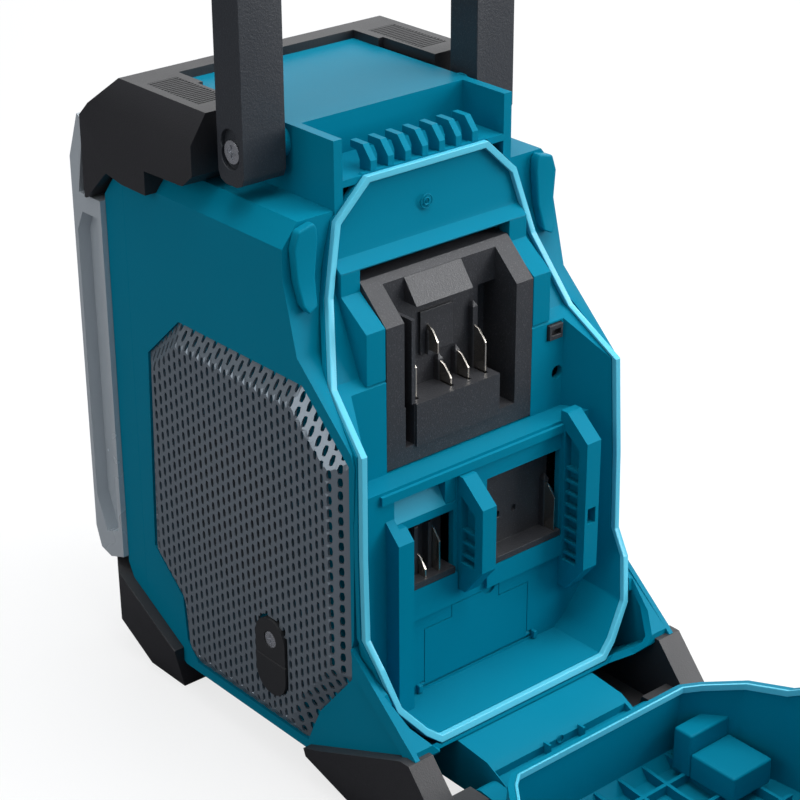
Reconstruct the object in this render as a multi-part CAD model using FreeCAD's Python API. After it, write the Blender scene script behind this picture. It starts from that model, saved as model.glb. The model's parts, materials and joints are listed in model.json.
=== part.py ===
import FreeCAD, Part
import math
import os

# Jobsite radio. Millimetres. X across, +Y to the rear (the battery door), +Z up.
# The radio is built with x = 0 on its middle plane, z = 0 on the floor and y = 0 near the middle of
# the closed case. The door stands open and the handle stands up, and everything is then moved along
# Y so that the origin is the middle of the whole footprint.

far = 400.0  # beyond every face of the radio

# Case
case_half = 76.3
wall = 3.0
case_split_y = -92.0
case_front_y = -107.0
case_bottom_z = 13.5
shelf_z = 260.0
shelf_chamfer_w = 8.3
shelf_chamfer_x = case_half - shelf_chamfer_w
shelf_chamfer_z = 250.0
block_half = 49.2
block_top_z = 290.0
trough_floor_z = 272.0
trough_front_y = -4.0
comb_top_z = 283.0
block_wall = 4.5
bumper_proud = 5.7
bumper_half = case_half + bumper_proud
top_z = 294.0
pad_x = (54.0, 69.0)
pad_y = (-79.0, -42.0)
pad_ridges = 17

# Battery compartment and its rim
upper_wall_y = 24.0
middle_wall_y = 46.0
lower_wall_y = 58.0
middle_wall_z = (146.0, 213.0, 233.0)
floor_z = 39.0
rim_width = 3.0
rim_thick = 2.6
rim_inset = 0.3
rim_half = case_half - rim_inset
tub_wall = 3.0
terminal_face_y = 60.0
terminal_depth = 10.0
pad_proud = 4.6
rib_pitch = 6.2

# Battery terminals and the cover of the two spare cells: x from, x to, z from, z to
main_half = 42.0
small_window = (14.6, 44.5, 93.4, 124.0)
small_contact_x = (38.5, 31.0, 23.0)
wide_window = (-49.5, -5.0, 88.6, 132.0)
cover_window = (-31.0, 31.0, 40.5, 76.0)
cover_pivot_r = 1.3
cover_pivot_y = lower_wall_y - cover_pivot_r
cover_step = (18.0, 16.0, 6.0)
cover_gap = 0.4
port_inset = 20.5
port_at = (port_inset - rim_half, 184.0)
port_size = (8.0, 7.0)
port_gap = 0.5

# Door and its hinge
hinge_y = 118.0
hinge_z = 19.5
hinge_open = 95.0
hinge_pin_r = 2.5
hinge_pin_len = 24.0
pin_gap = 0.05
door_wall = 2.8
rib_x = 15.0
rib_z = 20.0
door_lap = 2.0
door_gap = 0.4
door_back_y = 133.5
door_lean_z = 60.0
knuckle_r = 6.5
knuckle_x = (41.5, 51.5)
ledge_half = 41.0

# Latch
latch_y = 46.0
latch_z = 286.5
latch_half = 24.0
latch_pin_r = 1.6
latch_thick = 3.2
latch_open = 50.0

# Handle
pivot_y = -12.6
pivot_z = 281.8
arm_gap = 3.8
arm_width = 22.0
arm_in = block_half + arm_gap
arm_out = arm_in + arm_width
arm_depth = 17.5
handle_top_z = 380.0
arm_bottom_z = 267.5
grip_r = 11.5
grip_half = 44.0
pivot_r = 4.0

# Speakers
speaker_y = -12.0
speaker_z = 112.0
speaker_r = 46.0
cone_r = 35.0
dust_r = 13.0
flange_x = case_half - wall
flange_thick = 2.0
basket_depth = 24.0
magnet_r = 27.0
magnet_thick = 15.0
surround_w = 2.6
surround_gap = 0.4
mouth_gap = 0.5

# Grilles
grille_thick = 1.2
grille_proud = 4.6
grille_slope = 9.0
grille_seat = 1.4
slot_pitch_y = 7.6
slot_pitch_z = 12.0
slot_w = 2.2
slot_h = 8.0

# Front controls
panel_half = 48.0
panel_z = (62.0, 226.0)
panel_thick = 5.0
panel_recess = 3.0
display_w = 68.0
display_h = 36.0
display_z = 196.0
lens_thick = 2.0
knob_r = 20.0
knob_z = 122.0
knob_depth = 17.0
shaft_r = 3.0
button_w = 13.0
button_h = 8.0
button_gap = 0.35
button_proud = 2.2
button_spots = [(-32.0, 160.0), (0.0, 160.0), (32.0, 160.0), (-32.0, 130.0), (32.0, 130.0), (32.0, 112.0)]
board_posts = [(-36.5, 74.0), (36.5, 74.0), (-36.5, 172.0), (36.5, 172.0)]
socket_z = 80.0

# DC inlet on the left side
dc_y = 12.5
dc_z = 64.0
dc_half_w = 10.5
dc_r = 2.9
cap_thick = 5.0
flap_top_z = 53.0
flap_len = 17.0
flap_bead_r = 1.0
cap_gap = 0.7

V = FreeCAD.Vector


def box(x0, x1, y0, y1, z0, z1):
    return Part.makeBox(x1 - x0, y1 - y0, z1 - z0, V(x0, y0, z0))


def face(points):
    return Part.Face(Part.makePolygon(points + [points[0]]))


def prism_x(points, x0, x1):
    """A (y, z) outline drawn out along X."""
    return face([V(x0, y, z) for y, z in points]).extrude(V(x1 - x0, 0, 0))


def prism_y(points, y0, y1):
    """An (x, z) outline drawn out along Y."""
    return face([V(x, y0, z) for x, z in points]).extrude(V(0, y1 - y0, 0))


def prism_z(points, z0, z1):
    """An (x, y) outline drawn out along Z."""
    return face([V(x, y, z0) for x, y in points]).extrude(V(0, 0, z1 - z0))


def rod_x(y, z, r, x0, x1):
    return Part.makeCylinder(r, x1 - x0, V(x0, y, z), V(1, 0, 0))


def rod_y(x, z, r, y0, y1):
    return Part.makeCylinder(r, y1 - y0, V(x, y0, z), V(0, 1, 0))


def both(half):
    """Points of the +X half from the top down, joined to their mirror image."""
    return half + [(-x, z) for x, z in reversed(half)]


def mirror(shape):
    return shape.mirror(V(0, 0, 0), V(1, 0, 0))


def join(shapes):
    return shapes[0].multiFuse(shapes[1:]).removeSplitter()


def grow(points, d):
    """Move every side of a closed outline outwards by d, with sharp corners."""
    n = len(points)
    area = sum(points[i - 1][0] * points[i][1] - points[i][0] * points[i - 1][1] for i in range(n))
    side = d if area > 0 else -d
    out = []
    for i in range(n):
        a, b, c = points[i - 1], points[i], points[(i + 1) % n]
        u = ((b[0] - a[0]), (b[1] - a[1]))
        v = ((c[0] - b[0]), (c[1] - b[1]))
        lu, lv = math.hypot(*u), math.hypot(*v)
        nu = (u[1] / lu, -u[0] / lu)
        nv = (v[1] / lv, -v[0] / lv)
        k = side / (1.0 + nu[0] * nv[0] + nu[1] * nv[1])
        out.append((b[0] + k * (nu[0] + nv[0]), b[1] + k * (nu[1] + nv[1])))
    return out


def slide_y(points, d):
    return [(y + d, z) for y, z in points]


# Rear edge of the side panels, the rim of the compartment behind it, and the rim seen from behind.
side_edge = [(22, 262), (22, 236), (30, 205), (64, 173.4), (66, 168.5), (64.3, 86), (63, 81.4),
             (103.6, 48.8)]
rim_edge = [(25, 300), (25, 256), (29.4, 225.7), (43.6, 192.6), (69, 173), (70.5, 126.5),
            (71.5, 88), (79.2, 76.6), (85.1, 56.7), (92.5, 31)]
rim_steps = [(42.4, 272), (25.3, 256), (17.1, 225.7), (6.7, 192.6), (1.4, 173), (0, 126.5), (0, 88),
             (1.3, 76.6), (6.3, 56.7), (18.6, 41.9), (26, 36)]
rim_outline = both([(rim_half - d, z) for d, z in rim_steps])


def behind(edge, d, y1=170.0):
    """The space behind an edge line of the side view, moved along Y by d."""
    line = slide_y(edge, d)
    return prism_x(line + [(y1, line[-1][1] - 40), (y1, line[0][1] + 40)], -90, 90)


def before(edge, d, y0=-150.0):
    """The space in front of an edge line of the side view, moved along Y by d."""
    line = slide_y(edge, d)
    return prism_x(line + [(y0, line[-1][1] - 40), (y0, line[0][1] + 40)], -90, 90)


def case_side():
    front = [(case_front_y, 50), (case_front_y, 238), (-96, 252), (-84, 262), (-60, shelf_z)]
    low = [(103.6, 44), (100, 40), (62, case_bottom_z), (-62, case_bottom_z), (-100, 36)]
    return front + [(22, shelf_z)] + side_edge[1:] + low


def compartment(d):
    """The hollow that the batteries go in, with its walls moved out by d."""
    z0, z1, z2 = middle_wall_z
    back = [(lower_wall_y, floor_z), (lower_wall_y, z0), (middle_wall_y, z0), (middle_wall_y, z1),
            (28, z2), (upper_wall_y, 241), (upper_wall_y, 300), (200, 300), (200, 20), (92, 35.5),
            (72, 38)]
    plan = [(rim_half - d, y) for d, y in ((30, 15), (26, 24), (14, 48), (rim_width, 70), (rim_width, 200))]
    plan = plan + [(-x, y) for x, y in reversed(plan)]
    inner = grow(rim_outline, -rim_width)
    shape = prism_x(grow(back, d), -90, 90).common(prism_z(grow(plan, d), 0, 300))
    return shape.common(prism_y(grow(inner, d), 0, 200))


def tub():
    shape = compartment(tub_wall).common(before(rim_edge, -rim_thick))
    lip = prism_y(grow(rim_outline, 0.6), 10, 120).common(before(rim_edge, -rim_thick))
    lip = lip.common(behind(rim_edge, -rim_thick - 2.2))
    shape = shape.fuse(lip).cut(compartment(0))
    return shape


def rails():
    """Guide rails for the two small battery slots, on the lower back wall."""
    y0 = lower_wall_y - 0.5
    out = []
    for x0, x1, z0, z1 in [(4.5, 12.5, 84, 140), (-58.5, -50.0, 62, 151)]:
        side = [(y0, z0), (y0, z1), (y0 + 4, z1), (y0 + 17, z1 - 11), (y0 + 17, z0 + 14), (y0 + 6, z0)]
        rail = prism_x(side, x0, x1)
        pocket = [(y0 + 3, z0 + 14), (y0 + 3, z1 - 9), (y0 + 12, z1 - 16), (y0 + 12, z0 + 14)]
        rail = rail.cut(prism_x(pocket, x1 - 4.0, x1 + 1.0))
        for k in range(int((z1 - z0 - 34) / rib_pitch)):
            z = z0 + 17 + rib_pitch * k
            out.append(box(x1 - 4.1, x1 - 1.0, y0 + 2.9, y0 + 12.1, z, z + 1.2))
        out.append(rail)
    x0, x1, z0, z1 = small_window
    skirt = box(x0 - 1, x1 + 1, y0, terminal_face_y, cover_window[3] + 2, z0)
    ramp = prism_x([(y0, z1 + 4), (y0, z1 + 14), (y0 + 3, z1 + 14), (y0 + 8, z1 + 4)], x0 + 4, x1 - 3)
    post = prism_x([(y0, floor_z), (y0, z1 + 8), (y0 + 9, z1 - 1), (y0 + 9, floor_z)], x1, x1 + 8.5)
    x0, x1, z0, z1 = wide_window
    wide_skirt = box(x0 - 0.5, x1 + 1, y0, terminal_face_y, cover_window[3] + 2, z0)
    shelf = prism_x([(middle_wall_y - 1, 140.5), (middle_wall_y - 1, 145.8), (lower_wall_y + 1.5, 144.5),
                     (lower_wall_y + 1.5, 140.5)], -56, 56)
    return out + [skirt, wide_skirt, ramp, post, shelf]


def battery_compartment():
    shape = join([tub()] + rails())
    for block in (main_block_space(0.0), small_block_space(), wide_block_space()):
        shape = shape.cut(block)
    x0, x1, z0 = cover_window[:3]
    back, front = lower_wall_y - tub_wall - 1, lower_wall_y + 2
    shape = shape.cut(cover_outline(back, front, cover_gap))
    shape = shape.cut(box(x0 - 3, x1 + 3, back, front, z0 - cover_gap, z0 + 3.2))
    return shape.cut(port_block(port_gap, middle_wall_y - 5, middle_wall_y + 9))


def main_block_space(d):
    z0, z1, z2 = middle_wall_z
    return prism_x([(18, z0 + 0.2 - d), (18, z2 + 5), (29, z2 - 3), (middle_wall_y + 2, z1),
                    (middle_wall_y + 2, z0 + 0.2 - d)], -main_half - d, main_half + d)


def small_block_space():
    x0, x1, z0, z1 = small_window
    return box(x0, x1, lower_wall_y - 20, terminal_face_y + 0.5, z0, z1)


def wide_block_space():
    x0, x1, z0, z1 = wide_window
    return box(x0, x1, lower_wall_y - 20, terminal_face_y + 0.5, z0, z1)


def main_terminal_block():
    z0, z1, z2 = middle_wall_z
    g = 0.2
    side = [(middle_wall_y - 26, z0 + 1), (middle_wall_y - 26, z2 - 4), (29, z2 - 4),
            (middle_wall_y, z1), (middle_wall_y, z0 + 1)]
    body = prism_x(side, -main_half + g, main_half - g)
    hollow = prism_x([(32, z0 + 28), (32, z2 + 2), (80, z2 + 2), (80, z0 + 28)], -32, 32)
    body = body.cut(hollow)
    body = body.cut(box(-32, -22, 25, 70, z0 + 10, z1 - 2))
    tray = box(-22, 26, 34, middle_wall_y + 1, z0 + 8, z0 + 28)
    ramp = prism_x([(32, z2 - 7), (40, z2 - 18), (32, z2 - 18)], -12, 20)
    rib = box(26, 28, 32, middle_wall_y, z0 + 28, z1)
    body = join([body, tray, ramp, rib])
    for x in (22.0, 2.0, -8.0, -18.0):
        body = body.cut(box(x - 1.0, x + 1.0, 32, 43, z0 + 24, z0 + 28.5))
    groove = box(-5, 9, middle_wall_y - 2, middle_wall_y + 2, z0 - 1, z0 + 18)
    return body.cut(groove)


def blade(x, y0, z0, depth, height, thick=0.8):
    """A contact blade that stands out from the wall, with its upper corner cut back."""
    side = [(y0, z0), (y0, z0 + height), (y0 + depth * 0.55, z0 + height - 2.0),
            (y0 + depth, z0 + height - 7.0), (y0 + depth, z0)]
    return prism_x(side, x - thick / 2, x + thick / 2)


def main_contacts():
    z0 = middle_wall_z[0]
    spots = [(22.0, 24.2, 25), (2.0, 24.2, 14), (-8.0, 24.2, 16), (-18.0, 24.2, 25)]
    blades = [blade(x, 32.2, z0 + z, 9.8, h) for x, z, h in spots]
    return blades + [blade(8.0, 32.2, z0 + 44, 8.0, 12)]


def open_block(window, shelf_h):
    """A terminal block with a back plate and a shelf that the contacts stand on."""
    x0, x1, z0, z1 = window
    y = terminal_face_y - terminal_depth
    g = 0.2
    plate = box(x0 + g, x1 - g, y - 3, y, z0 + g, z1 - g)
    shelf = box(x0 + g, x1 - g, y, terminal_face_y, z0 + g, z0 + g + shelf_h)
    return [plate, shelf]


def small_terminal_block():
    z0, z1 = small_window[2:]
    parts = open_block(small_window, 3.0)
    y = terminal_face_y - terminal_depth
    for x in small_contact_x:
        parts.append(box(x + 0.6, x + 2.6, y, y + 4.0, z0 + 3, z1 - 4))
    return join(parts)


def small_contacts():
    z = small_window[2] + 3.2
    y = terminal_face_y - terminal_depth
    heights = (20.0, 11.0, 22.0)
    return [blade(x, y, z, 8.6, h) for x, h in zip(small_contact_x, heights)]


def wide_terminal_block():
    x1, z0 = wide_window[1:3]
    shape = join(open_block(wide_window, 3.0))
    y = terminal_face_y - terminal_depth
    for x in (x1 - 14.0, x1 - 24.0):
        shape = shape.cut(box(x - 1.2, x + 1.2, y - 1.5, y + 1, z0 + 16, z0 + 19))
    return shape


def wide_contacts():
    x0, x1, z0 = wide_window[:3]
    y = terminal_face_y - terminal_depth
    return [blade(x1 - 3.0, y, z0 + 3.2, 9.2, 24), blade(x0 + 3.5, y, z0 + 3.2, 9.2, 24)]


def seal_ring():
    ring = prism_y(rim_outline, 10, 130).cut(prism_y(grow(rim_outline, -rim_width), 5, 135))
    return ring.common(before(rim_edge, 0)).common(behind(rim_edge, -rim_thick))


def case_hollow():
    shape = prism_x(grow(case_side(), -wall), -case_half + wall, case_half - wall)
    for s in (-1, 1):
        shape = shape.cut(shelf_chamfer(s, wall))
    return shape


def shelf_chamfer(s, d):
    pts = [(s * (shelf_chamfer_x - d - 2), shelf_z + 2.4), (s * (case_half + 4), shelf_chamfer_z - 4.8 - d),
           (s * (case_half + 20), shelf_chamfer_z), (s * (case_half + 20), shelf_z + 30)]
    return prism_y(pts, -150, 60)


def centre_block():
    side = [(-84, 255), (-84, block_top_z), (22.6, block_top_z), (22.6, 255)]
    outer = prism_x(side, -block_half, block_half)
    inner = box(-block_half + block_wall, block_half - block_wall, -81, trough_front_y - 3, 250,
                block_top_z - wall)
    trough = box(-block_half + block_wall, block_half - block_wall, trough_front_y, 60,
                 trough_floor_z, block_top_z + 5)
    under = box(-block_half + block_wall, block_half - block_wall, trough_front_y - 4, 30, 250,
                trough_floor_z - wall)
    return outer.cut(inner).cut(trough).cut(under)


def comb():
    """Seven upright hooks in the trough. The latch reaches under their forward lips."""
    z = comb_top_z
    hook = [(22.6, trough_floor_z - 0.5), (22.6, z - 6), (17.5, z), (9.5, z), (9.5, z - 3), (13.5, z - 3.5),
            (15.5, z - 7), (15.5, trough_floor_z - 0.5)]
    return [prism_x(hook, 9.4 * k - 1.6, 9.4 * k + 1.6) for k in range(-3, 4)]


def hinge_ledge():
    side = [(60, case_bottom_z), (60, 33), (92, 33.2), (110, 31.5), (123, 25), (123, 13.5), (100, 10),
            (66, 10)]
    ledge = prism_x(side, -ledge_half, ledge_half)
    return ledge.cut(rod_x(hinge_y, hinge_z, hinge_pin_r + pin_gap, -60, 60))


def grille_outline():
    return [(-54.4, 193.2), (-79.5, 170), (-83.2, 68.9), (-62, 50), (-59.9, 27.4), (-52, 18.5),
            (31.1, 18.5), (40, 38), (62.6, 65.3), (62.5, 167.5), (32.9, 193.5)]


def grille_seats(shape):
    for s in (-1, 1):
        x0, x1 = sorted((s * (case_half - grille_seat), s * (case_half + 2)))
        shape = shape.cut(prism_x(grille_outline(), x0, x1))
        x0, x1 = sorted((s * (case_half - wall - 3), s * (case_half + 2)))
        shape = shape.cut(rod_x(speaker_y, speaker_z, cone_r + 5.0, x0, x1))
    return shape


def flange(s):
    """The flared tip of the side panel beside the foot of the door."""
    pts = [(64, 82), (103.6, 48.8), (106, 46.5), (100, 43), (66, 70)]
    x0, x1 = sorted((s * (case_half - 0.7), s * (case_half + 1.7)))
    return prism_x(pts, x0, x1)


def case_solid():
    outer = prism_x(case_side(), -case_half, case_half)
    for s in (-1, 1):
        outer = outer.cut(shelf_chamfer(s, 0))
    shell = outer.cut(case_hollow())
    slot = box(-block_half + block_wall, block_half - block_wall, -78, 30, 250, 270)
    shell = shell.cut(slot)
    shell = join([shell, centre_block(), hinge_ledge(), flange(1), flange(-1)] + comb())
    return shell


def pivot_holes(shape, r):
    return shape.cut(rod_x(pivot_y, pivot_z, r, -90, 90))


def rear_housing():
    shape = case_solid().cut(box(-far, far, -far, case_split_y, -far, far))
    shape = shape.cut(compartment(tub_wall + 0.15))
    lip = prism_y(grow(rim_outline, 0.8), 10, 120).common(behind(rim_edge, -rim_thick - 2.4))
    shape = shape.cut(lip).cut(main_block_space(0.2))
    shape = shape.cut(prism_y(grow(rim_outline, door_lap + 0.6), 0, 200).common(behind(rim_edge, -0.3)))
    shape = pivot_holes(shape, pivot_r + pin_gap)
    shape = grille_seats(shape)
    shape = shape.cut(dc_bore_space())
    shape = shape.cut(rod_x(dc_y, dc_z, 1.6, 50, 100))
    solids = sorted(shape.Solids, key=lambda s: -s.Volume)
    return solids[0]


def dc_bore_space():
    return rod_x(dc_y, dc_z - 16, dc_r + 4.2, case_half - 6, case_half + 6)


def front_housing():
    shape = case_solid().common(box(-far, far, -far, case_split_y, -far, far))
    z0, z1 = panel_z
    shape = shape.cut(box(-panel_half, panel_half, case_front_y - 5, case_front_y + panel_recess, z0, z1))
    shape = shape.cut(box(-panel_half + 6, panel_half - 6, case_front_y - 5, case_front_y + 12, z0 + 6,
                          z1 - 6))
    solids = sorted(shape.Solids, key=lambda s: -s.Volume)
    return solids[0]


def top_bumper():
    side = [(-96, 252), (-112.8, 236), (-125, 235), (-118.5, 270.5), (-94, top_z), (-66, top_z),
            (-66, 250), (-84, 250)]
    bar = prism_x(side, -bumper_half, bumper_half)
    leg = [(-70, 250), (-94, top_z - 0.01), (-30.5, top_z), (-30.5, 268), (-38, 262), (-69, 261), (-92, 247)]
    leg_in = block_half + 2.8
    legs = [prism_x(leg, leg_in, bumper_half), prism_x(leg, -bumper_half, -leg_in)]
    shape = join([bar] + legs)
    for s in (-1, 1):
        corner = [(s * (bumper_half - 9), top_z + 1), (s * (bumper_half + 1), top_z - 14),
                  (s * (bumper_half + 1), top_z + 1)]
        shape = shape.cut(prism_y(corner, -150, 0))
        nose = [(s * (bumper_half - 8), -130), (s * (bumper_half - 5), -122), (s * (bumper_half + 1), -113),
                (s * (bumper_half + 1), -130)]
        shape = shape.cut(prism_z(nose, 200, 320))
    outer = prism_x(case_side(), -case_half, case_half)
    for s in (-1, 1):
        outer = outer.cut(shelf_chamfer(s, 0))
    shape = shape.cut(outer)
    shape = shape.cut(box(-block_half - 0.01, block_half + 0.01, -84, 40, 240, 300))
    for s in (-1, 1):
        x0, x1 = sorted((s * (pad_x[0] - 0.1), s * (pad_x[1] + 0.1)))
        shape = shape.cut(box(x0, x1, pad_y[0] - 0.1, pad_y[1] + 0.1, top_z - 1.5, top_z + 5))
    solids = sorted(shape.Solids, key=lambda s: -s.Volume)
    return solids[0]


def bumper_pads():
    out = []
    pitch = (pad_y[1] - pad_y[0]) / pad_ridges
    for s in (-1, 1):
        x0, x1 = sorted((s * pad_x[0], s * pad_x[1]))
        base = box(x0, x1, pad_y[0], pad_y[1], top_z - 1.5, top_z - 0.9)
        ridges = [box(x0, x1, pad_y[0] + pitch * k, pad_y[0] + pitch * (k + 0.6), top_z - 0.9, top_z)
                  for k in range(pad_ridges)]
        out.append(join([base] + ridges))
    return out


def front_foot(s):
    side = [(-126, 44), (-116.3, 50), (-63.5, 21.7), (-63.5, 0), (-91, 0), (-112, 21), (-126, 38)]
    x0, x1 = sorted((s * (bumper_half - 26), s * bumper_half))
    foot = prism_x(side, x0, x1)
    taper = [(s * bumper_half, 22), (s * (bumper_half - 5), 0), (s * (bumper_half + 5), -2),
             (s * (bumper_half + 5), 22)]
    foot = foot.cut(prism_y(taper, -150, 0))
    nose = [(s * (bumper_half - 22), -130), (s * (bumper_half - 10), -124), (s * (bumper_half + 1), -106),
            (s * (bumper_half + 1), -130)]
    foot = foot.cut(prism_z(nose, -5, 60))
    foot = foot.cut(prism_x(case_side(), -case_half, case_half))
    return sorted(foot.Solids, key=lambda f: -f.Volume)[0]


def rear_foot(s):
    side = [(33, 12), (33, 17), (100.5, 46.2), (106, 46.2), (127, 22), (127, 8), (119, 0), (62, 0)]
    x0, x1 = sorted((s * (bumper_half - 13.5), s * bumper_half))
    foot = prism_x(side, x0, x1)
    inner = [(60, 0), (60, 13.4), (108, 13.4), (112, 26), (124, 26), (126, 10), (119, 0)]
    x0, x1 = sorted((s * (knuckle_x[1] + 1.0), s * (bumper_half - 12)))
    foot = foot.fuse(prism_x(inner, x0, x1))
    taper = [(s * bumper_half, 22), (s * (bumper_half - 5), 0), (s * (bumper_half + 5), -2),
             (s * (bumper_half + 5), 22)]
    foot = foot.cut(prism_y(taper, 0, 150))
    foot = foot.cut(prism_x(case_side(), -case_half, case_half)).cut(flange(s))
    foot = foot.cut(rod_x(hinge_y, hinge_z, hinge_pin_r + pin_gap, -100, 100))
    return sorted(foot.removeSplitter().Solids, key=lambda f: -f.Volume)[0]


def guard(s):
    """A C-shaped bar from the top bumper down to the front foot."""
    outer = [(-107, 235), (-124, 235), (-117, 270.5), (-121.5, 272.5), (-131, 247), (-134, 222), (-134, 74),
             (-126, 51), (-118, 49), (-107, 53)]
    x0, x1 = sorted((s * (bumper_half - 24), s * (bumper_half - 3)))
    bar = prism_x(outer, x0, x1)
    groove = [(-110, 226), (-122, 226), (-127, 216), (-127, 80), (-120, 62), (-110, 66)]
    x0, x1 = sorted((s * (bumper_half - 9.5), s * far))
    bar = bar.cut(prism_x(groove, x0, x1))
    x0, x1 = sorted((s * (bumper_half - 42), s * (bumper_half - 18)))
    inside = [(-100, 228), (-127, 226), (-130, 216), (-130, 78), (-124, 60), (-100, 62)]
    bar = bar.cut(prism_x(inside, x0, x1))
    edge = [(s * (bumper_half - 2.5), -129), (s * (bumper_half - 8), -136), (s * far, -136), (s * far, -129)]
    bar = bar.cut(prism_z(edge, 0, far))
    return bar.cut(top_bumper()).cut(front_foot(s))


def pan(d):
    """A raised panel with sloping borders over the grille outline, its skin moved in by d."""
    base = grow(grille_outline(), -0.5 - d)
    top = grow(grille_outline(), -0.5 - grille_slope)
    x0 = case_half - grille_seat - (0.5 if d else 0.0)
    x1 = case_half + grille_proud - d
    w0 = Part.makePolygon([V(x0, y, z) for y, z in base + [base[0]]])
    w1 = Part.makePolygon([V(x1, y, z) for y, z in top + [top[0]]])
    return Part.makeLoft([w0, w1], True, True)


def grille_slots():
    y0, y1, z0, z1 = -66.0, 54.0, 34.0, 176.0
    x0, x1 = case_half - 5, case_half + grille_proud + 5
    out = []
    for i in range(int((y1 - y0) / slot_pitch_y) + 1):
        y = y0 + i * slot_pitch_y
        shift = slot_pitch_z / 2 if i % 2 else 0.0
        for k in range(int((z1 - z0) / slot_pitch_z)):
            z = z0 + shift + k * slot_pitch_z
            near_dc = abs(y - dc_y) < dc_half_w + 3.5 and z < dc_z + 20
            if not near_dc:
                out.append(box(x0, x1, y - slot_w / 2, y + slot_w / 2, z, z + slot_h))
    return out


def grille(s):
    shell = pan(0).cut(pan(grille_thick))
    shell = shell.cut(Part.makeCompound(grille_slots()))
    if s > 0:
        shell = shell.cut(cap_seat())
    else:
        shell = mirror(shell)
    return sorted(shell.Solids, key=lambda f: -f.Volume)[0]


def stadium(d, x0, x1):
    """The capsule outline of the inlet cover, drawn out along X."""
    r = dc_half_w + d
    za = flap_top_z - flap_len + dc_half_w
    ends = [rod_x(dc_y, dc_z, r, x0, x1), rod_x(dc_y, za, r, x0, x1)]
    return join(ends + [box(x0, x1, dc_y - r, dc_y + r, za, dc_z)])


def cap_seat():
    return stadium(cap_gap, case_half - 10, case_half + 15)


def dc_cap_parts():
    x0 = case_half + grille_proud - cap_thick + 1.2
    x1 = bumper_half
    whole = stadium(0, x0, x1)
    upper = whole.common(box(50, 100, -50, 80, flap_top_z + 0.3, 100))
    upper = upper.cut(rod_x(dc_y, dc_z, 4.2, x1 - 1.6, x1 + 5)).cut(rod_x(dc_y, dc_z, 1.6, 50, 100))
    neck = box(case_half - grille_seat, x0, dc_y - 7, dc_y + 7, flap_top_z + 3, dc_z + 8)
    neck = neck.cut(rod_x(dc_y, dc_z, 1.6, 50, 100))
    upper = upper.fuse(neck)
    lower = whole.common(box(50, 100, -50, 80, 20, flap_top_z - 0.3))
    lower = lower.cut(rod_x(dc_y, dc_z - 16, dc_r + 1.0, 50, x0 + 0.8))
    hinge_x = x1 - flap_bead_r
    upper = upper.cut(rod_y(hinge_x, flap_top_z, flap_bead_r + 0.6, dc_y - 20, dc_y + 20))
    lower = lower.fuse(rod_y(hinge_x, flap_top_z, flap_bead_r, dc_y - dc_half_w, dc_y + dc_half_w))
    return upper, lower


def dc_cap_screw():
    x1 = bumper_half
    head = rod_x(dc_y, dc_z, 3.9, x1 - 1.5, x1 - 0.3)
    slots = [box(x1 - 0.9, x1, dc_y - 2.4, dc_y + 2.4, dc_z - 0.5, dc_z + 0.5),
             box(x1 - 0.9, x1, dc_y - 0.5, dc_y + 0.5, dc_z - 2.4, dc_z + 2.4)]
    head = head.cut(slots[0]).cut(slots[1])
    return head.fuse(rod_x(dc_y, dc_z, 1.5, case_half - 4, x1 - 1.5))


def dc_jack():
    z = dc_z - 16
    body = rod_x(dc_y, z, dc_r + 4.0, case_half - 16, case_half - 0.6)
    body = body.cut(rod_x(dc_y, z, dc_r, case_half - 12, case_half + 5))
    pin = rod_x(dc_y, z, 1.0, case_half - 12, case_half - 3)
    back = box(case_half - 22, case_half - 15, dc_y - 7, dc_y + 7, z - 7, z + 7)
    return join([body, back, pin])


def speaker_basket(s):
    x1 = flange_x
    ring = rod_x(speaker_y, speaker_z, speaker_r, x1 - flange_thick, x1)
    mouth_r = cone_r + surround_gap + surround_w + mouth_gap
    ring = ring.cut(rod_x(speaker_y, speaker_z, mouth_r, x1 - 10, x1 + 5))
    xa = x1 - basket_depth
    cone_out = Part.makeCone(magnet_r, cone_r + 6.5, basket_depth - flange_thick, V(xa, speaker_y, speaker_z),
                             V(1, 0, 0))
    cone_in = Part.makeCone(magnet_r - 3, cone_r + 4.0, basket_depth - flange_thick + 0.02,
                            V(xa - 0.01, speaker_y, speaker_z), V(1, 0, 0))
    back = rod_x(speaker_y, speaker_z, magnet_r, xa - 2.0, xa).cut(rod_x(speaker_y, speaker_z, dust_r + 1.5,
                                                                       xa - 5, xa + 5))
    shape = join([ring, cone_out.cut(cone_in), back])
    for k in range(4):
        window = box(xa + 3, x1 - 6, speaker_y - 9, speaker_y + 9, speaker_z + 18, speaker_z + 60)
        window.rotate(V(0, speaker_y, speaker_z), V(1, 0, 0), 90 * k)
        shape = shape.cut(window)
    for a in (45, 135, 225, 315):
        y = speaker_y + (speaker_r - 3.4) * math.cos(math.radians(a))
        z = speaker_z + (speaker_r - 3.4) * math.sin(math.radians(a))
        shape = shape.cut(rod_x(y, z, 1.7, x1 - 5, x1 + 2))
    return shape if s > 0 else mirror(shape)


def speaker_magnet(s):
    x1 = flange_x - basket_depth - 2.0
    shape = rod_x(speaker_y, speaker_z, magnet_r + 3, x1 - magnet_thick, x1)
    shape = shape.cut(rod_x(speaker_y, speaker_z, dust_r + 1.2, x1 - magnet_thick + 4, x1 + 1))
    return shape if s > 0 else mirror(shape)


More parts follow.
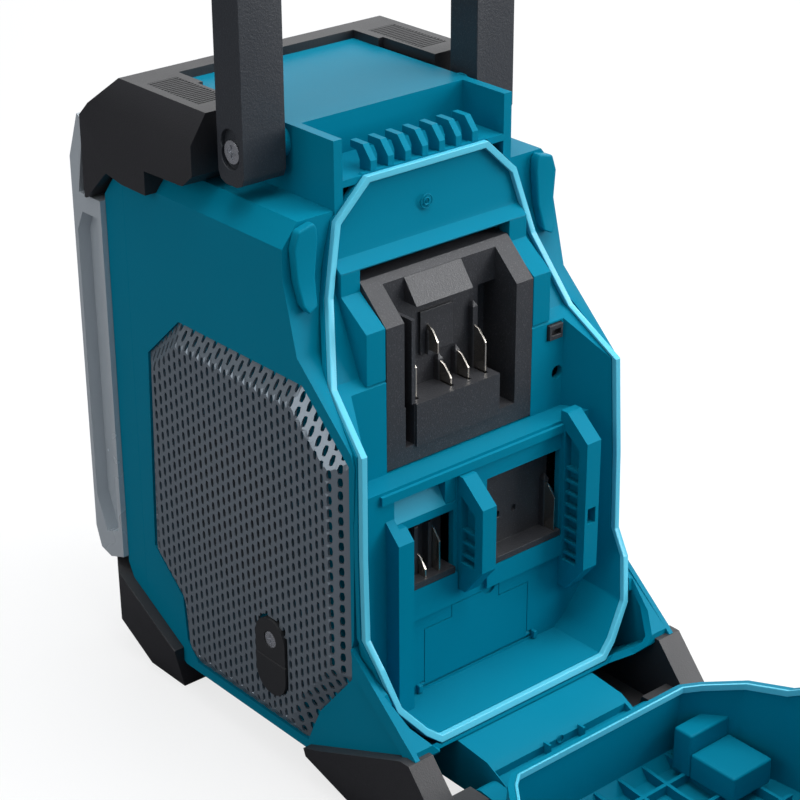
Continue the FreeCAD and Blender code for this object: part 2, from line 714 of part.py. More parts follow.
def speaker_cone(s):
    x1 = flange_x - 3.0
    depth = 14.0
    r0, r1 = dust_r, cone_r
    cone = Part.makeCone(r0, r1, depth, V(x1 - depth, speaker_y, speaker_z), V(1, 0, 0))
    inside = V(x1 - depth + 1.0, speaker_y, speaker_z)
    inner = Part.makeCone(r0 - 0.8, r1 - 0.8, depth + 0.02, inside, V(1, 0, 0))
    coil = rod_x(speaker_y, speaker_z, dust_r - 0.5, x1 - depth - 11, x1 - depth + 1)
    coil = coil.cut(rod_x(speaker_y, speaker_z, dust_r - 1.5, x1 - depth - 12, x1 - depth))
    cap = Part.makeSphere(dust_r + 3, V(x1 - depth - 7.8, speaker_y, speaker_z))
    cap = cap.common(rod_x(speaker_y, speaker_z, dust_r + 0.4, x1 - depth, x1 + 5))
    cap = cap.cut(Part.makeSphere(dust_r + 2, V(x1 - depth - 7.8, speaker_y, speaker_z)))
    shape = join([cone.cut(inner), coil, cap])
    return shape if s > 0 else mirror(shape)


def speaker_surround(s):
    x1 = flange_x - 3.0
    mid = cone_r + surround_gap + surround_w / 2
    roll = Part.makeTorus(mid, surround_w / 2, V(x1, speaker_y, speaker_z), V(1, 0, 0))
    roll = roll.cut(Part.makeTorus(mid, surround_w / 2 - 0.8, V(x1, speaker_y, speaker_z), V(1, 0, 0)))
    half = box(x1, x1 + 20, speaker_y - 80, speaker_y + 80, speaker_z - 80, speaker_z + 80)
    roll = roll.common(half)
    return roll if s > 0 else mirror(roll)


def shoulder_pads():
    steps = [(13.3, 259.5), (5.3, 257.5), (2.8, 250), (4.8, 226), (7.3, 222), (12.3, 224.5), (15.1, 252),
             (14.8, 257)]
    out = []
    for s in (-1, 1):
        outline = [(s * (case_half - d), z) for d, z in steps]
        pad = prism_y(outline, 20, 40)
        side = [(case_edge_y(z), z) for z in (262, 236, 205)]
        proud = slide_y(list(reversed(side)), pad_proud)
        out.append(pad.common(prism_x(slide_y(side, 0.02) + proud, -90, 90)))
    return out


def case_edge_y(z):
    """Y of the side panel's rear edge at a height."""
    for (ya, za), (yb, zb) in zip(side_edge, side_edge[1:]):
        if zb <= z <= za:
            return ya + (yb - ya) * (za - z) / (za - zb) if za > zb else ya
    return side_edge[0][0]


def arm(s):
    x0, x1 = sorted((s * arm_in, s * arm_out))
    h = arm_depth / 2
    z0 = arm_bottom_z
    half = [(h, handle_top_z - 8), (h, z0 + 5), (h - 1.5, z0 + 1.5), (h - 5, z0)]
    side = [(pivot_y - y, z) for y, z in half] + [(pivot_y + y, z) for y, z in reversed(half)]
    shape = prism_x(side, x0, x1)
    head = [(pivot_y - h, handle_top_z - 8), (pivot_y + h, handle_top_z - 8), (pivot_y + h - 5, handle_top_z),
            (pivot_y - h + 5, handle_top_z)]
    shape = shape.fuse(prism_x(head, x0, x1))
    corner = [(s * arm_out, handle_top_z - 14), (s * (arm_out + 3), handle_top_z + 2),
              (s * (arm_out - 10), handle_top_z + 2), (s * (arm_out - 10), handle_top_z)]
    shape = shape.cut(prism_y(corner, pivot_y - 20, pivot_y + 20))
    x0, x1 = sorted((s * (arm_out - 2.4), s * (arm_out + 3)))
    recess = join([rod_x(pivot_y, pivot_z - 1.5, 6.0, x0, x1), rod_x(pivot_y, pivot_z + 4.0, 6.0, x0, x1)])
    return shape.cut(recess)


def handle_frame():
    bar = box(-arm_in - 1, arm_in + 1, pivot_y - 5.5, pivot_y + 5.5, handle_top_z - 19, handle_top_z - 4)
    shape = join([arm(1), arm(-1), bar])
    shape = shape.cut(rod_x(pivot_y, pivot_z, pivot_r + pin_gap, -90, 90))
    return shape


def handle_grip():
    z = handle_top_z - grip_r
    tube = rod_x(pivot_y, z, grip_r, -grip_half, grip_half)
    bore = box(-60, 60, pivot_y - 5.52, pivot_y + 5.52, handle_top_z - 19.02, handle_top_z - 3.98)
    return tube.cut(bore)


def pivot_screw(s):
    x_head = arm_out - 2.4
    head = rod_x(pivot_y, pivot_z, 5.0, x_head, x_head + 1.6)
    for a in (0, 90):
        cross = box(x_head + 0.6, x_head + 3, pivot_y - 3, pivot_y + 3, pivot_z - 0.7, pivot_z + 0.7)
        cross.rotate(V(0, pivot_y, pivot_z), V(1, 0, 0), a)
        head = head.cut(cross)
    shape = head.fuse(rod_x(pivot_y, pivot_z, pivot_r, block_half - block_wall - 2, x_head))
    return shape if s > 0 else mirror(shape)


def handle_bush(s):
    shape = rod_x(pivot_y, pivot_z, 7.6, block_half + 0.02, arm_in - 0.1)
    shape = shape.cut(rod_x(pivot_y, pivot_z, pivot_r + pin_gap, 0, 90))
    return shape if s > 0 else mirror(shape)


def door_back(d):
    """Outline of the closed door seen from the side: the back leans forward towards its top."""
    lean = math.tan(math.radians(hinge_open - 90))
    z1 = 232.0
    pts = [(door_back_y, door_lean_z), (door_back_y, 40.5), (126, 33.5), (60, 33.5), (0, 33.5), (0, 276.5),
           (60, 276.5), (108, 246), (door_back_y - (z1 - door_lean_z) * lean, z1)]
    return grow(pts, -d) if d else pts


def door_rim(d):
    return grow(rim_outline, door_lap - d)


def door_shell():
    outer = prism_y(door_rim(0), 0, far).common(prism_x(door_back(0), -90, 90))
    outer = outer.common(behind(rim_edge, door_gap))
    inner = prism_y(door_rim(door_wall), -10, far).common(prism_x(door_back(door_wall), -90, 90))
    shell = outer.cut(inner)
    parts = [shell] + [door_ribs().common(outer)]
    for s in (-1, 1):
        x0, x1 = sorted((s * knuckle_x[0], s * knuckle_x[1]))
        web = prism_x([(111.6, 19.5), (124.4, 19.5), (126.5, 34.6), (111.6, 34.6)], x0, x1)
        parts.append(join([rod_x(hinge_y, hinge_z, knuckle_r, x0, x1), web]))
        x0, x1 = sorted((s * (latch_half + 0.4), s * (latch_half + 3.4)))
        ear = prism_x([(38, 272), (38, 283), (42, 290.5), (50, 290.5), (54, 283), (54, 272)], x0, x1)
        parts.append(ear)
    shape = join(parts)
    shape = shape.cut(rod_x(hinge_y, hinge_z, hinge_pin_r + pin_gap, -100, 100))
    shape = shape.cut(rod_x(latch_y, latch_z, latch_pin_r + 0.02, -60, 60))
    return sorted(shape.Solids, key=lambda f: -f.Volume)[0]


def door_ribs():
    """A grid of low ribs on the inside of the door's back."""
    lean = math.tan(math.radians(hinge_open - 90))
    y = door_back_y - door_wall
    band = prism_x([(y + 0.2, door_lean_z - 24), (y - 5, door_lean_z - 24), (y - 5, door_lean_z),
                    (y - 5 - 150 * lean, door_lean_z + 150), (y + 0.2 - 150 * lean, door_lean_z + 150),
                    (y + 0.2, door_lean_z)], -66, 66)
    bars = []
    for k in range(-4, 5):
        bars.append(box(rib_x * k - 0.9, rib_x * k + 0.9, 60, 140, 30, 240))
    for k in range(8):
        z = 52 + rib_z * k
        bars.append(box(-70, 70, 60, 140, z - 0.9, z + 0.9))
    return join([band.common(b) for b in bars])


def door_gasket():
    """The tongue along the door's rim that presses on the seal."""
    ring = prism_y(grow(rim_outline, -0.9), 0, 150).cut(prism_y(grow(rim_outline, -2.1), -5, 155))
    band = behind(rim_edge, 0.15).common(before(rim_edge, 3.4))
    low = prism_x([(0, 33), (150, 33), (150, 276), (0, 276)], -90, 90)
    return ring.common(band).common(low)


def open_door(shape):
    turned = shape.copy()
    turned.rotate(V(0, hinge_y, hinge_z), V(1, 0, 0), -hinge_open)
    return turned


def hinge_pin(s):
    x0 = ledge_half - 12
    shape = rod_x(hinge_y, hinge_z, hinge_pin_r, x0, x0 + hinge_pin_len + 8)
    return shape if s > 0 else mirror(shape)


def latch_lever():
    """The lever closed: it reaches over the comb and its tooth goes under the lips."""
    t = latch_thick
    z = comb_top_z + 1.2
    tail = [(latch_y + 3, z + t), (latch_y + 8, z + t - 1.0), (latch_y + 8.6, z - 1.0),
            (latch_y + 3, z - 0.6), (latch_y - 3, z)]
    tooth = [(11, z), (8.9, z - 1.2), (8.9, 277.4), (10.2, 277.0), (10.2, 275.2), (7.6, 274.6), (5.9, 276.0)]
    tip = [(2.5, 275.4), (2.5, 278.0), (5.9, 279.5), (5.9, z + 0.4), (8.5, z + t), (latch_y - 3, z + t)]
    lever = prism_x(tail + tooth + tip, -latch_half, latch_half)
    barrel = rod_x(latch_y, latch_z, 3.4, -latch_half, latch_half)
    shape = join([lever, barrel])
    shape = shape.cut(rod_x(latch_y, latch_z, latch_pin_r + pin_gap, -60, 60))
    shape.rotate(V(0, latch_y, latch_z), V(1, 0, 0), -latch_open)
    return shape


def latch_pin():
    return rod_x(latch_y, latch_z, latch_pin_r, -latch_half - 3.2, latch_half + 3.2)


def backup_battery_box():
    x0, x1, z0, z1 = cover_window
    y1 = lower_wall_y - tub_wall - 0.4
    outer = box(x0 - 1, x1 + 1, y1 - 20, y1, z0 - 1.5, z1 + 2)
    return outer.cut(box(x0 + 1, x1 - 1, y1 - 18, y1 + 2, z0 + 0.4, z1 - 0.4))


def backup_cells():
    y = lower_wall_y - tub_wall - 0.4 - 10.2
    zc = (cover_window[2] + cover_window[3]) / 2
    out = []
    for dz in (-7.6, 7.6):
        cell = rod_x(y, zc + dz, 7.1, -24.5, 24.5)
        out.append(cell.fuse(rod_x(y, zc + dz, 2.6, 24.5, 25.6)))
    return out


def backup_springs():
    y = lower_wall_y - tub_wall - 0.4 - 10.2
    zc = (cover_window[2] + cover_window[3]) / 2
    out = []
    for dz in (-7.6, 7.6):
        out.append(Part.makeCone(5.4, 3.0, 4.8, V(-29.6, y, zc + dz), V(1, 0, 0)))
        out.append(box(26.0, 29.6, y - 4, y + 4, zc + dz - 4, zc + dz + 4))
    return out


def cover_outline(y0, y1, gap):
    """The cover's plate with the step on its upper edge, grown by a gap."""
    x0, x1, z0, z1 = cover_window
    left, right, height = cover_step
    plate = box(x0 - gap, x1 + gap, y0, y1, z0 + cover_pivot_r, z1 - height + gap)
    return plate.fuse(box(x0 + left - gap, x1 - right + gap, y0, y1, z1 - height, z1 + gap))


def backup_cover():
    x0, x1, z0, z1 = cover_window
    y = lower_wall_y
    pivot = rod_x(cover_pivot_y, z0 + cover_pivot_r, cover_pivot_r, x0 - 2.4, x1 + 2.4)
    shape = join([cover_outline(y - 2 * cover_pivot_r, y, 0), pivot])
    notch = rod_y(x0 + cover_step[0] + 6, z1 + 1.5, 4, y - 1.2, y + 10)
    return shape.cut(notch)


def port_block(d, y0, y1):
    """A box round the small port, its sides moved out by d."""
    (x, z), (w, h) = port_at, port_size
    return box(x - w / 2 - d, x + w / 2 + d, y0, y1, z - h / 2 - d, z + h / 2 + d)


def charge_port():
    body = port_block(0, middle_wall_y - 4, middle_wall_y + 1.5)
    x, z = port_at
    half = port_size[0] / 2 - 1.1
    return body.cut(box(x - half, x + half, middle_wall_y - 1, middle_wall_y + 9, z - 1.4, z + 1.4))


def control_panel():
    z0, z1 = panel_z
    y1 = case_front_y + panel_recess
    g = 0.2
    shape = box(-panel_half + g, panel_half - g, y1 - panel_thick, y1, z0 + g, z1 - g)
    shape = shape.fuse(box(-panel_half + 6.3, panel_half - 6.3, y1 - 0.1, y1 + 5, z0 + 6.3, z1 - 6.3)
                       .cut(box(-panel_half + 7.5, panel_half - 7.5, y1 - 1, y1 + 6, z0 + 7.5, z1 - 7.5)))
    for x, z in board_posts:
        shape = shape.fuse(rod_y(x, z, 2.5, y1 - 0.1, board_y()))
    shape = shape.cut(box(-display_w / 2, display_w / 2, y1 - 10, y1 + 10, display_z - display_h / 2,
                          display_z + display_h / 2))
    shape = shape.cut(box(-display_w / 2 - 2, display_w / 2 + 2, y1 - 10, y1 - panel_thick + lens_thick,
                          display_z - display_h / 2 - 2, display_z + display_h / 2 + 2))
    shape = shape.cut(rod_y(0, knob_z, shaft_r + 0.6, y1 - 10, y1 + 10))
    shape = shape.cut(rod_y(0, knob_z, knob_r + 1.2, y1 - 10, y1 - panel_thick + 1.6))
    for x, z in button_spots:
        shape = shape.cut(box(x - button_w / 2 - button_gap, x + button_w / 2 + button_gap, y1 - 12, y1 + 12,
                              z - button_h / 2 - button_gap, z + button_h / 2 + button_gap))
    shape = shape.cut(rod_y(-14, socket_z, 2.9, y1 - 12, y1 + 12))
    shape = shape.cut(box(8, 22, y1 - 12, y1 + 12, socket_z - 3, socket_z + 3))
    shape = shape.cut(box(-27, 27, y1 - 12, y1 - panel_thick + 2.6, socket_z - 8, socket_z + 8))
    return shape.removeSplitter()


def panel_front_y():
    return case_front_y + panel_recess - panel_thick


def board_y():
    """Front face of the main board, on the back of the encoder."""
    return panel_front_y() + 15.0


def display_lens():
    y = panel_front_y()
    g = 0.1
    half_w = display_w / 2 + 2 - g
    half_h = display_h / 2 + 2 - g
    return box(-half_w, half_w, y, y + lens_thick, display_z - half_h, display_z + half_h)


def display_module():
    y = panel_front_y() + lens_thick
    g = 0.3
    return box(-display_w / 2 + g, display_w / 2 - g, y + 0.1, y + 7, display_z - display_h / 2 + g,
               display_z + display_h / 2 - g)


def tuning_knob():
    y1 = panel_front_y() + 1.0
    body = rod_y(0, knob_z, knob_r, y1 - knob_depth, y1)
    edge = Part.makeCone(knob_r - 3, knob_r, 3.0, V(0, y1 - knob_depth, knob_z), V(0, 1, 0))
    body = body.cut(rod_y(0, knob_z, knob_r + 1, y1 - knob_depth - 1, y1 - knob_depth + 3)).fuse(edge)
    for k in range(24):
        a = math.radians(15 * k)
        x = (knob_r + 0.5) * math.cos(a)
        z = knob_z + (knob_r + 0.5) * math.sin(a)
        body = body.cut(rod_y(x, z, 1.3, y1 - knob_depth + 3.5, y1 + 1))
    dimple = Part.makeSphere(9, V(knob_r * 0.5, y1 - knob_depth - 7.6, knob_z))
    body = body.cut(dimple)
    return body.cut(rod_y(0, knob_z, shaft_r + pin_gap, y1 - 10, y1 + 1))


def encoder():
    y1 = panel_front_y() + 1.0
    shaft = rod_y(0, knob_z, shaft_r, y1 - 9.6, y1 + 12)
    body = box(-7, 7, y1 + 6, y1 + 14, knob_z - 7, knob_z + 7)
    return shaft.fuse(body)


def button(x, z):
    y0 = panel_front_y() - button_proud
    cap = box(x - button_w / 2, x + button_w / 2, y0, y0 + 7, z - button_h / 2, z + button_h / 2)
    cap = cap.makeChamfer(0.6, [e for e in cap.Edges if e.BoundBox.YMax < y0 + 0.01])
    foot = box(x - button_w / 2 - 1.2, x + button_w / 2 + 1.2, y0 + 7 + 0.6, y0 + 8.4, z - button_h / 2 - 1.2,
               z + button_h / 2 + 1.2)
    stem = box(x - 2, x + 2, y0 + 6.9, y0 + 9.2, z - 2, z + 2)
    return join([cap, foot, stem])


def socket_cover():
    y = panel_front_y()
    plate = box(-26.5, 26.5, y - 0.6, y + 2.2, socket_z - 7.5, socket_z + 7.5)
    tab = box(-6, 6, y - 3, y - 0.6, socket_z - 7.5, socket_z - 4.5)
    bead = rod_x(y - 0.6, socket_z + 7.5, 0.4, -26.5, 26.5)
    return join([plate, tab, bead])


def main_board():
    y = board_y()
    plate = box(-42, 42, y, y + 1.6, 68, 220)
    chips = [box(-20, 4, y + 1.6, y + 4, 150, 174), box(12, 30, y + 1.6, y + 8, 100, 118),
             box(-32, -16, y + 1.6, y + 5, 190, 206)]
    return join([plate] + chips)


def nodes():
    cap_base, cap_flap = dc_cap_parts()
    parts = {
        "front_housing": front_housing(),
        "rear_housing": rear_housing(),
        "battery_compartment": battery_compartment(),
        "seal_ring": seal_ring(),
        "top_bumper": top_bumper(),
        "bumper_pads": bumper_pads(),
        "shoulder_pads": shoulder_pads(),
        "handle_frame": handle_frame(),
        "handle_grip": handle_grip(),
        "handle_pivot_screws": [pivot_screw(1), pivot_screw(-1)],
        "handle_bushes": [handle_bush(1), handle_bush(-1)],
        "door_shell": open_door(door_shell()),
        "door_gasket": open_door(door_gasket()),
        "hinge_pins": [hinge_pin(1), hinge_pin(-1)],
        "latch_lever": open_door(latch_lever()),
        "latch_pin": open_door(latch_pin()),
        "main_terminal_block": main_terminal_block(),
        "main_contacts": main_contacts(),
        "small_terminal_block": small_terminal_block(),
        "small_contacts": small_contacts(),
        "wide_terminal_block": wide_terminal_block(),
        "wide_contacts": wide_contacts(),
        "backup_battery_box": backup_battery_box(),
        "backup_cover": backup_cover(),
        "backup_cells": backup_cells(),
        "backup_springs": backup_springs(),
        "dc_jack": dc_jack(),
        "dc_cap_base": cap_base,
        "dc_cap_flap": cap_flap,
        "dc_cap_screw": dc_cap_screw(),
        "charge_port": charge_port(),
        "control_panel": control_panel(),
        "display_lens": display_lens(),
        "display_module": display_module(),
        "encoder": encoder(),
        "tuning_knob": tuning_knob(),
        "socket_cover": socket_cover(),
        "main_board": main_board(),
        "speaker_magnets": [speaker_magnet(1), speaker_magnet(-1)],
    }
    for name, s in (("left", 1), ("right", -1)):
        parts["front_foot_" + name] = front_foot(s)
        parts["rear_foot_" + name] = rear_foot(s)
        parts["guard_" + name] = guard(s)
        parts["grille_" + name] = grille(s)
        parts["speaker_basket_" + name] = speaker_basket(s)
        parts["speaker_cone_" + name] = speaker_cone(s)
        parts["speaker_surround_" + name] = speaker_surround(s)
    for k, (x, z) in enumerate(button_spots):
        parts["button_" + str(k + 1)] = button(x, z)
    return parts


def write(parts):
    os.makedirs("parts", exist_ok=True)
    solids = {}
    low, high = 1e9, -1e9
    for name, shape in parts.items():
        group = shape if isinstance(shape, list) else [shape]
        group = [s for item in group for s in item.Solids]
        solids[name] = group
        for s in group:
            low = min(low, s.BoundBox.YMin)
            high = max(high, s.BoundBox.YMax)
    middle = (low + high) / 2
    print("body y = 0 lies at row y = %.4f mm" % -middle)
    for name, group in solids.items():
        moved = []
        for s in group:
            s = s.copy()
            s.translate(V(0, -middle, 0))
            moved.append(s)
        shape = moved[0] if len(moved) == 1 else Part.makeCompound(moved)
        shape.exportStep("parts/" + name + ".step")
        b = shape.BoundBox
        print("%-24s %2d solids %10.0f mm3 valid %s  x %.1f %.1f  y %.1f %.1f  z %.1f %.1f" % (
            name, len(moved), shape.Volume, shape.isValid(), b.XMin, b.XMax, b.YMin + middle, b.YMax + middle,
            b.ZMin, b.ZMax))


write(nodes())
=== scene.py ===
import json
import math

import bmesh
import bpy
from mathutils import Matrix, Vector


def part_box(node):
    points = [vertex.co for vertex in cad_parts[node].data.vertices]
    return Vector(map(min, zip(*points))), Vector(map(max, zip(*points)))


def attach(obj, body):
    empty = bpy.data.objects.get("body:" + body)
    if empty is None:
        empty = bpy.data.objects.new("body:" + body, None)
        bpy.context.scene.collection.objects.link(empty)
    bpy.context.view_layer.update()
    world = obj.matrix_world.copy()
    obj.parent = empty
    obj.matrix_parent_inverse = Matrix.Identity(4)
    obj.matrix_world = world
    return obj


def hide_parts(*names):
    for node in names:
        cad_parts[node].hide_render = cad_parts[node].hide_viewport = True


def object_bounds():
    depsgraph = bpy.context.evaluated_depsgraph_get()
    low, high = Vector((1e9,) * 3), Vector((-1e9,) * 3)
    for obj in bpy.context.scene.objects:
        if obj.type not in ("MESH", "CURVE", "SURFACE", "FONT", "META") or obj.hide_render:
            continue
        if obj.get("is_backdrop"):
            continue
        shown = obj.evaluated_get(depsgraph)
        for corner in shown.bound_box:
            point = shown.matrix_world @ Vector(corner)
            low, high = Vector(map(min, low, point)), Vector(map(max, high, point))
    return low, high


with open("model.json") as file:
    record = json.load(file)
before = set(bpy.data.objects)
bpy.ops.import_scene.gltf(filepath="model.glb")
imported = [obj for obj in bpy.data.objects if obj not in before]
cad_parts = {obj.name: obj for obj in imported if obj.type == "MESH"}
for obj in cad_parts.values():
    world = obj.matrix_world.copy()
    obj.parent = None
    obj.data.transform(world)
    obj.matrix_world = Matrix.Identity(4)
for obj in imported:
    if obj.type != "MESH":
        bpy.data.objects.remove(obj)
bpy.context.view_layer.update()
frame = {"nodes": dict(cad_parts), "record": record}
slotOf = {row["node"]: row["material_slot"] for row in frame["record"]["subparts"]}
bodyOf = {}
for bodyName, members in frame["record"]["behaviour"]["bodies"].items():
    for member in members:
        bodyOf[member] = bodyName

# how far the guards' front face lies in front of the middle of the closed case, in metres
guardReach = 0.134
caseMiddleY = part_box("guard_left")[0].y + guardReach
print("frame loaded, middle of the case at y", round(caseMiddleY, 4))


def at(x, y, z):
    # millimetres from the middle of the case, on the floor
    return Vector((x / 1000, y / 1000 + caseMiddleY, z / 1000))


# camera at the photograph's place
camera = {"from": (573.0, 676.0, 578.3), "azimuth": 139.48, "elevation": 25.75, "roll": 0.24,
          "focalPixels": 2189.7, "picturePixels": 800, "sensor": 36}


def placeCamera():
    az, el, roll = (math.radians(camera[k]) for k in ("azimuth", "elevation", "roll"))
    back = Vector((math.sin(az) * math.cos(el), -math.cos(az) * math.cos(el), math.sin(el)))
    right = (-back).cross(Vector((0, 0, 1))).normalized()
    down = (-back).cross(right)
    turnedRight = right * math.cos(roll) + down * math.sin(roll)
    turnedDown = down * math.cos(roll) - right * math.sin(roll)
    data = bpy.data.cameras.new("photoCamera")
    data.sensor_width = camera["sensor"]
    data.lens = camera["sensor"] * camera["focalPixels"] / camera["picturePixels"]
    data.clip_start = 0.01
    obj = bpy.data.objects.new("photoCamera", data)
    turn = Matrix((turnedRight, -turnedDown, back)).transposed().to_4x4()
    obj.matrix_world = Matrix.Translation(at(*camera["from"])) @ turn
    bpy.context.scene.collection.objects.link(obj)
    bpy.context.scene.camera = obj


placeCamera()
print("camera placed")


def linear(red, green, blue):
    # a colour as a screen shows it, 0 to 255, turned into shader values
    out = []
    for value in (red, green, blue):
        value /= 255
        out.append(value / 12.92 if value <= 0.04045 else ((value + 0.055) / 1.055) ** 2.4)
    return (*out, 1.0)


# node groups that several finishes share

def newGroup(name, inputs, outputs):
    group = bpy.data.node_groups.new(name, "ShaderNodeTree")
    for label, kind, value in inputs:
        socket = group.interface.new_socket(name=label, in_out="INPUT", socket_type=kind)
        if value is not None:
            socket.default_value = value
    for label, kind in outputs:
        group.interface.new_socket(name=label, in_out="OUTPUT", socket_type=kind)
    return group, group.nodes.new("NodeGroupInput"), group.nodes.new("NodeGroupOutput")


def link(tree, source, target):
    tree.links.new(source, target)


def makeGrainGroup():
    # spark-eroded mould texture: a fine pebble over a slow waviness
    group, into, out = newGroup("mouldGrain",
                                [("Scale", "NodeSocketFloat", 900.0), ("Strength", "NodeSocketFloat", 0.1)],
                                [("Normal", "NodeSocketVector"), ("Tone", "NodeSocketFloat")])
    nodes = group.nodes
    where = nodes.new("ShaderNodeTexCoord")
    pebble = nodes.new("ShaderNodeTexNoise")
    pebble.inputs["Detail"].default_value = 3.0
    pebble.inputs["Roughness"].default_value = 0.6
    slow = nodes.new("ShaderNodeTexNoise")
    slow.inputs["Scale"].default_value = 22.0
    slow.inputs["Detail"].default_value = 2.0
    bump = nodes.new("ShaderNodeBump")
    bump.inputs["Distance"].default_value = 0.0004
    link(group, where.outputs["Object"], pebble.inputs["Vector"])
    link(group, where.outputs["Object"], slow.inputs["Vector"])
    link(group, into.outputs["Scale"], pebble.inputs["Scale"])
    link(group, into.outputs["Strength"], bump.inputs["Strength"])
    link(group, pebble.outputs["Fac"], bump.inputs["Height"])
    link(group, bump.outputs["Normal"], out.inputs["Normal"])
    link(group, slow.outputs["Fac"], out.inputs["Tone"])
    return group


def makeToneGroup():
    # a colour that drifts a little, with fine specks and a breath of dust on what faces up
    group, into, out = newGroup("surfaceTone",
                                [("Color", "NodeSocketColor", (0.5, 0.5, 0.5, 1)),
                                 ("Drift", "NodeSocketFloat", 0.1), ("Specks", "NodeSocketFloat", 0.0),
                                 ("SpeckScale", "NodeSocketFloat", 1800.0),
                                 ("Dust", "NodeSocketFloat", 0.05)],
                                [("Color", "NodeSocketColor")])
    nodes = group.nodes
    where = nodes.new("ShaderNodeTexCoord")
    cloud = nodes.new("ShaderNodeTexNoise")
    cloud.inputs["Scale"].default_value = 14.0
    cloud.inputs["Detail"].default_value = 4.0
    link(group, where.outputs["Object"], cloud.inputs["Vector"])
    centred = nodes.new("ShaderNodeMath")
    centred.operation = "SUBTRACT"
    centred.inputs[1].default_value = 0.5
    link(group, cloud.outputs["Fac"], centred.inputs[0])
    scaled = nodes.new("ShaderNodeMath")
    scaled.operation = "MULTIPLY_ADD"
    scaled.inputs[2].default_value = 1.0
    link(group, centred.outputs[0], scaled.inputs[0])
    link(group, into.outputs["Drift"], scaled.inputs[1])
    tinted = nodes.new("ShaderNodeVectorMath")
    tinted.operation = "SCALE"
    link(group, into.outputs["Color"], tinted.inputs[0])
    link(group, scaled.outputs[0], tinted.inputs["Scale"])
    grains = nodes.new("ShaderNodeTexNoise")
    grains.inputs["Detail"].default_value = 1.0
    link(group, where.outputs["Object"], grains.inputs["Vector"])
    link(group, into.outputs["SpeckScale"], grains.inputs["Scale"])
    bright = nodes.new("ShaderNodeMapRange")
    bright.inputs["From Min"].default_value = 0.60
    bright.inputs["From Max"].default_value = 0.72
    link(group, grains.outputs["Fac"], bright.inputs["Value"])
    speckled = nodes.new("ShaderNodeMath")
    speckled.operation = "MULTIPLY"
    link(group, bright.outputs["Result"], speckled.inputs[0])
    link(group, into.outputs["Specks"], speckled.inputs[1])
    withSpecks = nodes.new("ShaderNodeMix")
    withSpecks.data_type = "RGBA"
    withSpecks.inputs["B"].default_value = (0.55, 0.57, 0.6, 1)
    link(group, speckled.outputs[0], withSpecks.inputs["Factor"])
    link(group, tinted.outputs["Vector"], withSpecks.inputs["A"])
    geometry = nodes.new("ShaderNodeNewGeometry")
    split = nodes.new("ShaderNodeSeparateXYZ")
    link(group, geometry.outputs["Normal"], split.inputs[0])
    upward = nodes.new("ShaderNodeMapRange")
    upward.inputs["From Min"].default_value = 0.6
    upward.inputs["From Max"].default_value = 1.0
    link(group, split.outputs["Z"], upward.inputs["Value"])
    dusty = nodes.new("ShaderNodeMath")
    dusty.operation = "MULTIPLY"
    link(group, upward.outputs["Result"], dusty.inputs[0])
    link(group, into.outputs["Dust"], dusty.inputs[1])
    patchy = nodes.new("ShaderNodeMath")
    patchy.operation = "MULTIPLY"
    link(group, dusty.outputs[0], patchy.inputs[0])
    link(group, cloud.outputs["Fac"], patchy.inputs[1])
    finished = nodes.new("ShaderNodeMix")
    finished.data_type = "RGBA"
    finished.inputs["B"].default_value = (0.5, 0.49, 0.47, 1)
    link(group, patchy.outputs[0], finished.inputs["Factor"])
    link(group, withSpecks.outputs["Result"], finished.inputs["A"])
    link(group, finished.outputs["Result"], out.inputs["Color"])
    return group


def makeBrushGroup():
    # fine parallel scratches, drawn out along one axis
    group, into, out = newGroup("brushMarks",
                                [("Stretch", "NodeSocketVector", (1, 1, 1)), ("Strength", "NodeSocketFloat", 0.1),
                                 ("Low", "NodeSocketFloat", 0.2), ("High", "NodeSocketFloat", 0.4)],
                                [("Normal", "NodeSocketVector"), ("Roughness", "NodeSocketFloat")])
    nodes = group.nodes
    where = nodes.new("ShaderNodeTexCoord")
    mapping = nodes.new("ShaderNodeMapping")
    link(group, where.outputs["Object"], mapping.inputs["Vector"])
    link(group, into.outputs["Stretch"], mapping.inputs["Scale"])
    lines = nodes.new("ShaderNodeTexNoise")
    lines.inputs["Scale"].default_value = 300.0
    lines.inputs["Detail"].default_value = 4.0
    link(group, mapping.outputs["Vector"], lines.inputs["Vector"])
    bump = nodes.new("ShaderNodeBump")
    bump.inputs["Distance"].default_value = 0.0002
    link(group, lines.outputs["Fac"], bump.inputs["Height"])
    link(group, into.outputs["Strength"], bump.inputs["Strength"])
    rough = nodes.new("ShaderNodeMapRange")
    link(group, lines.outputs["Fac"], rough.inputs["Value"])
    link(group, into.outputs["Low"], rough.inputs["To Min"])
    link(group, into.outputs["High"], rough.inputs["To Max"])
    link(group, bump.outputs["Normal"], out.inputs["Normal"])
    link(group, rough.outputs["Result"], out.inputs["Roughness"])
    return group


grainGroup = makeGrainGroup()
toneGroup = makeToneGroup()
brushGroup = makeBrushGroup()


def blank(name):
    material = bpy.data.materials.new(name)
    material.use_nodes = True
    return material, material.node_tree.nodes, material.node_tree.nodes["Principled BSDF"]


def place(nodes, group, **values):
    node = nodes.new("ShaderNodeGroup")
    node.node_tree = group
    for label, value in values.items():
        node.inputs[label].default_value = value
    return node


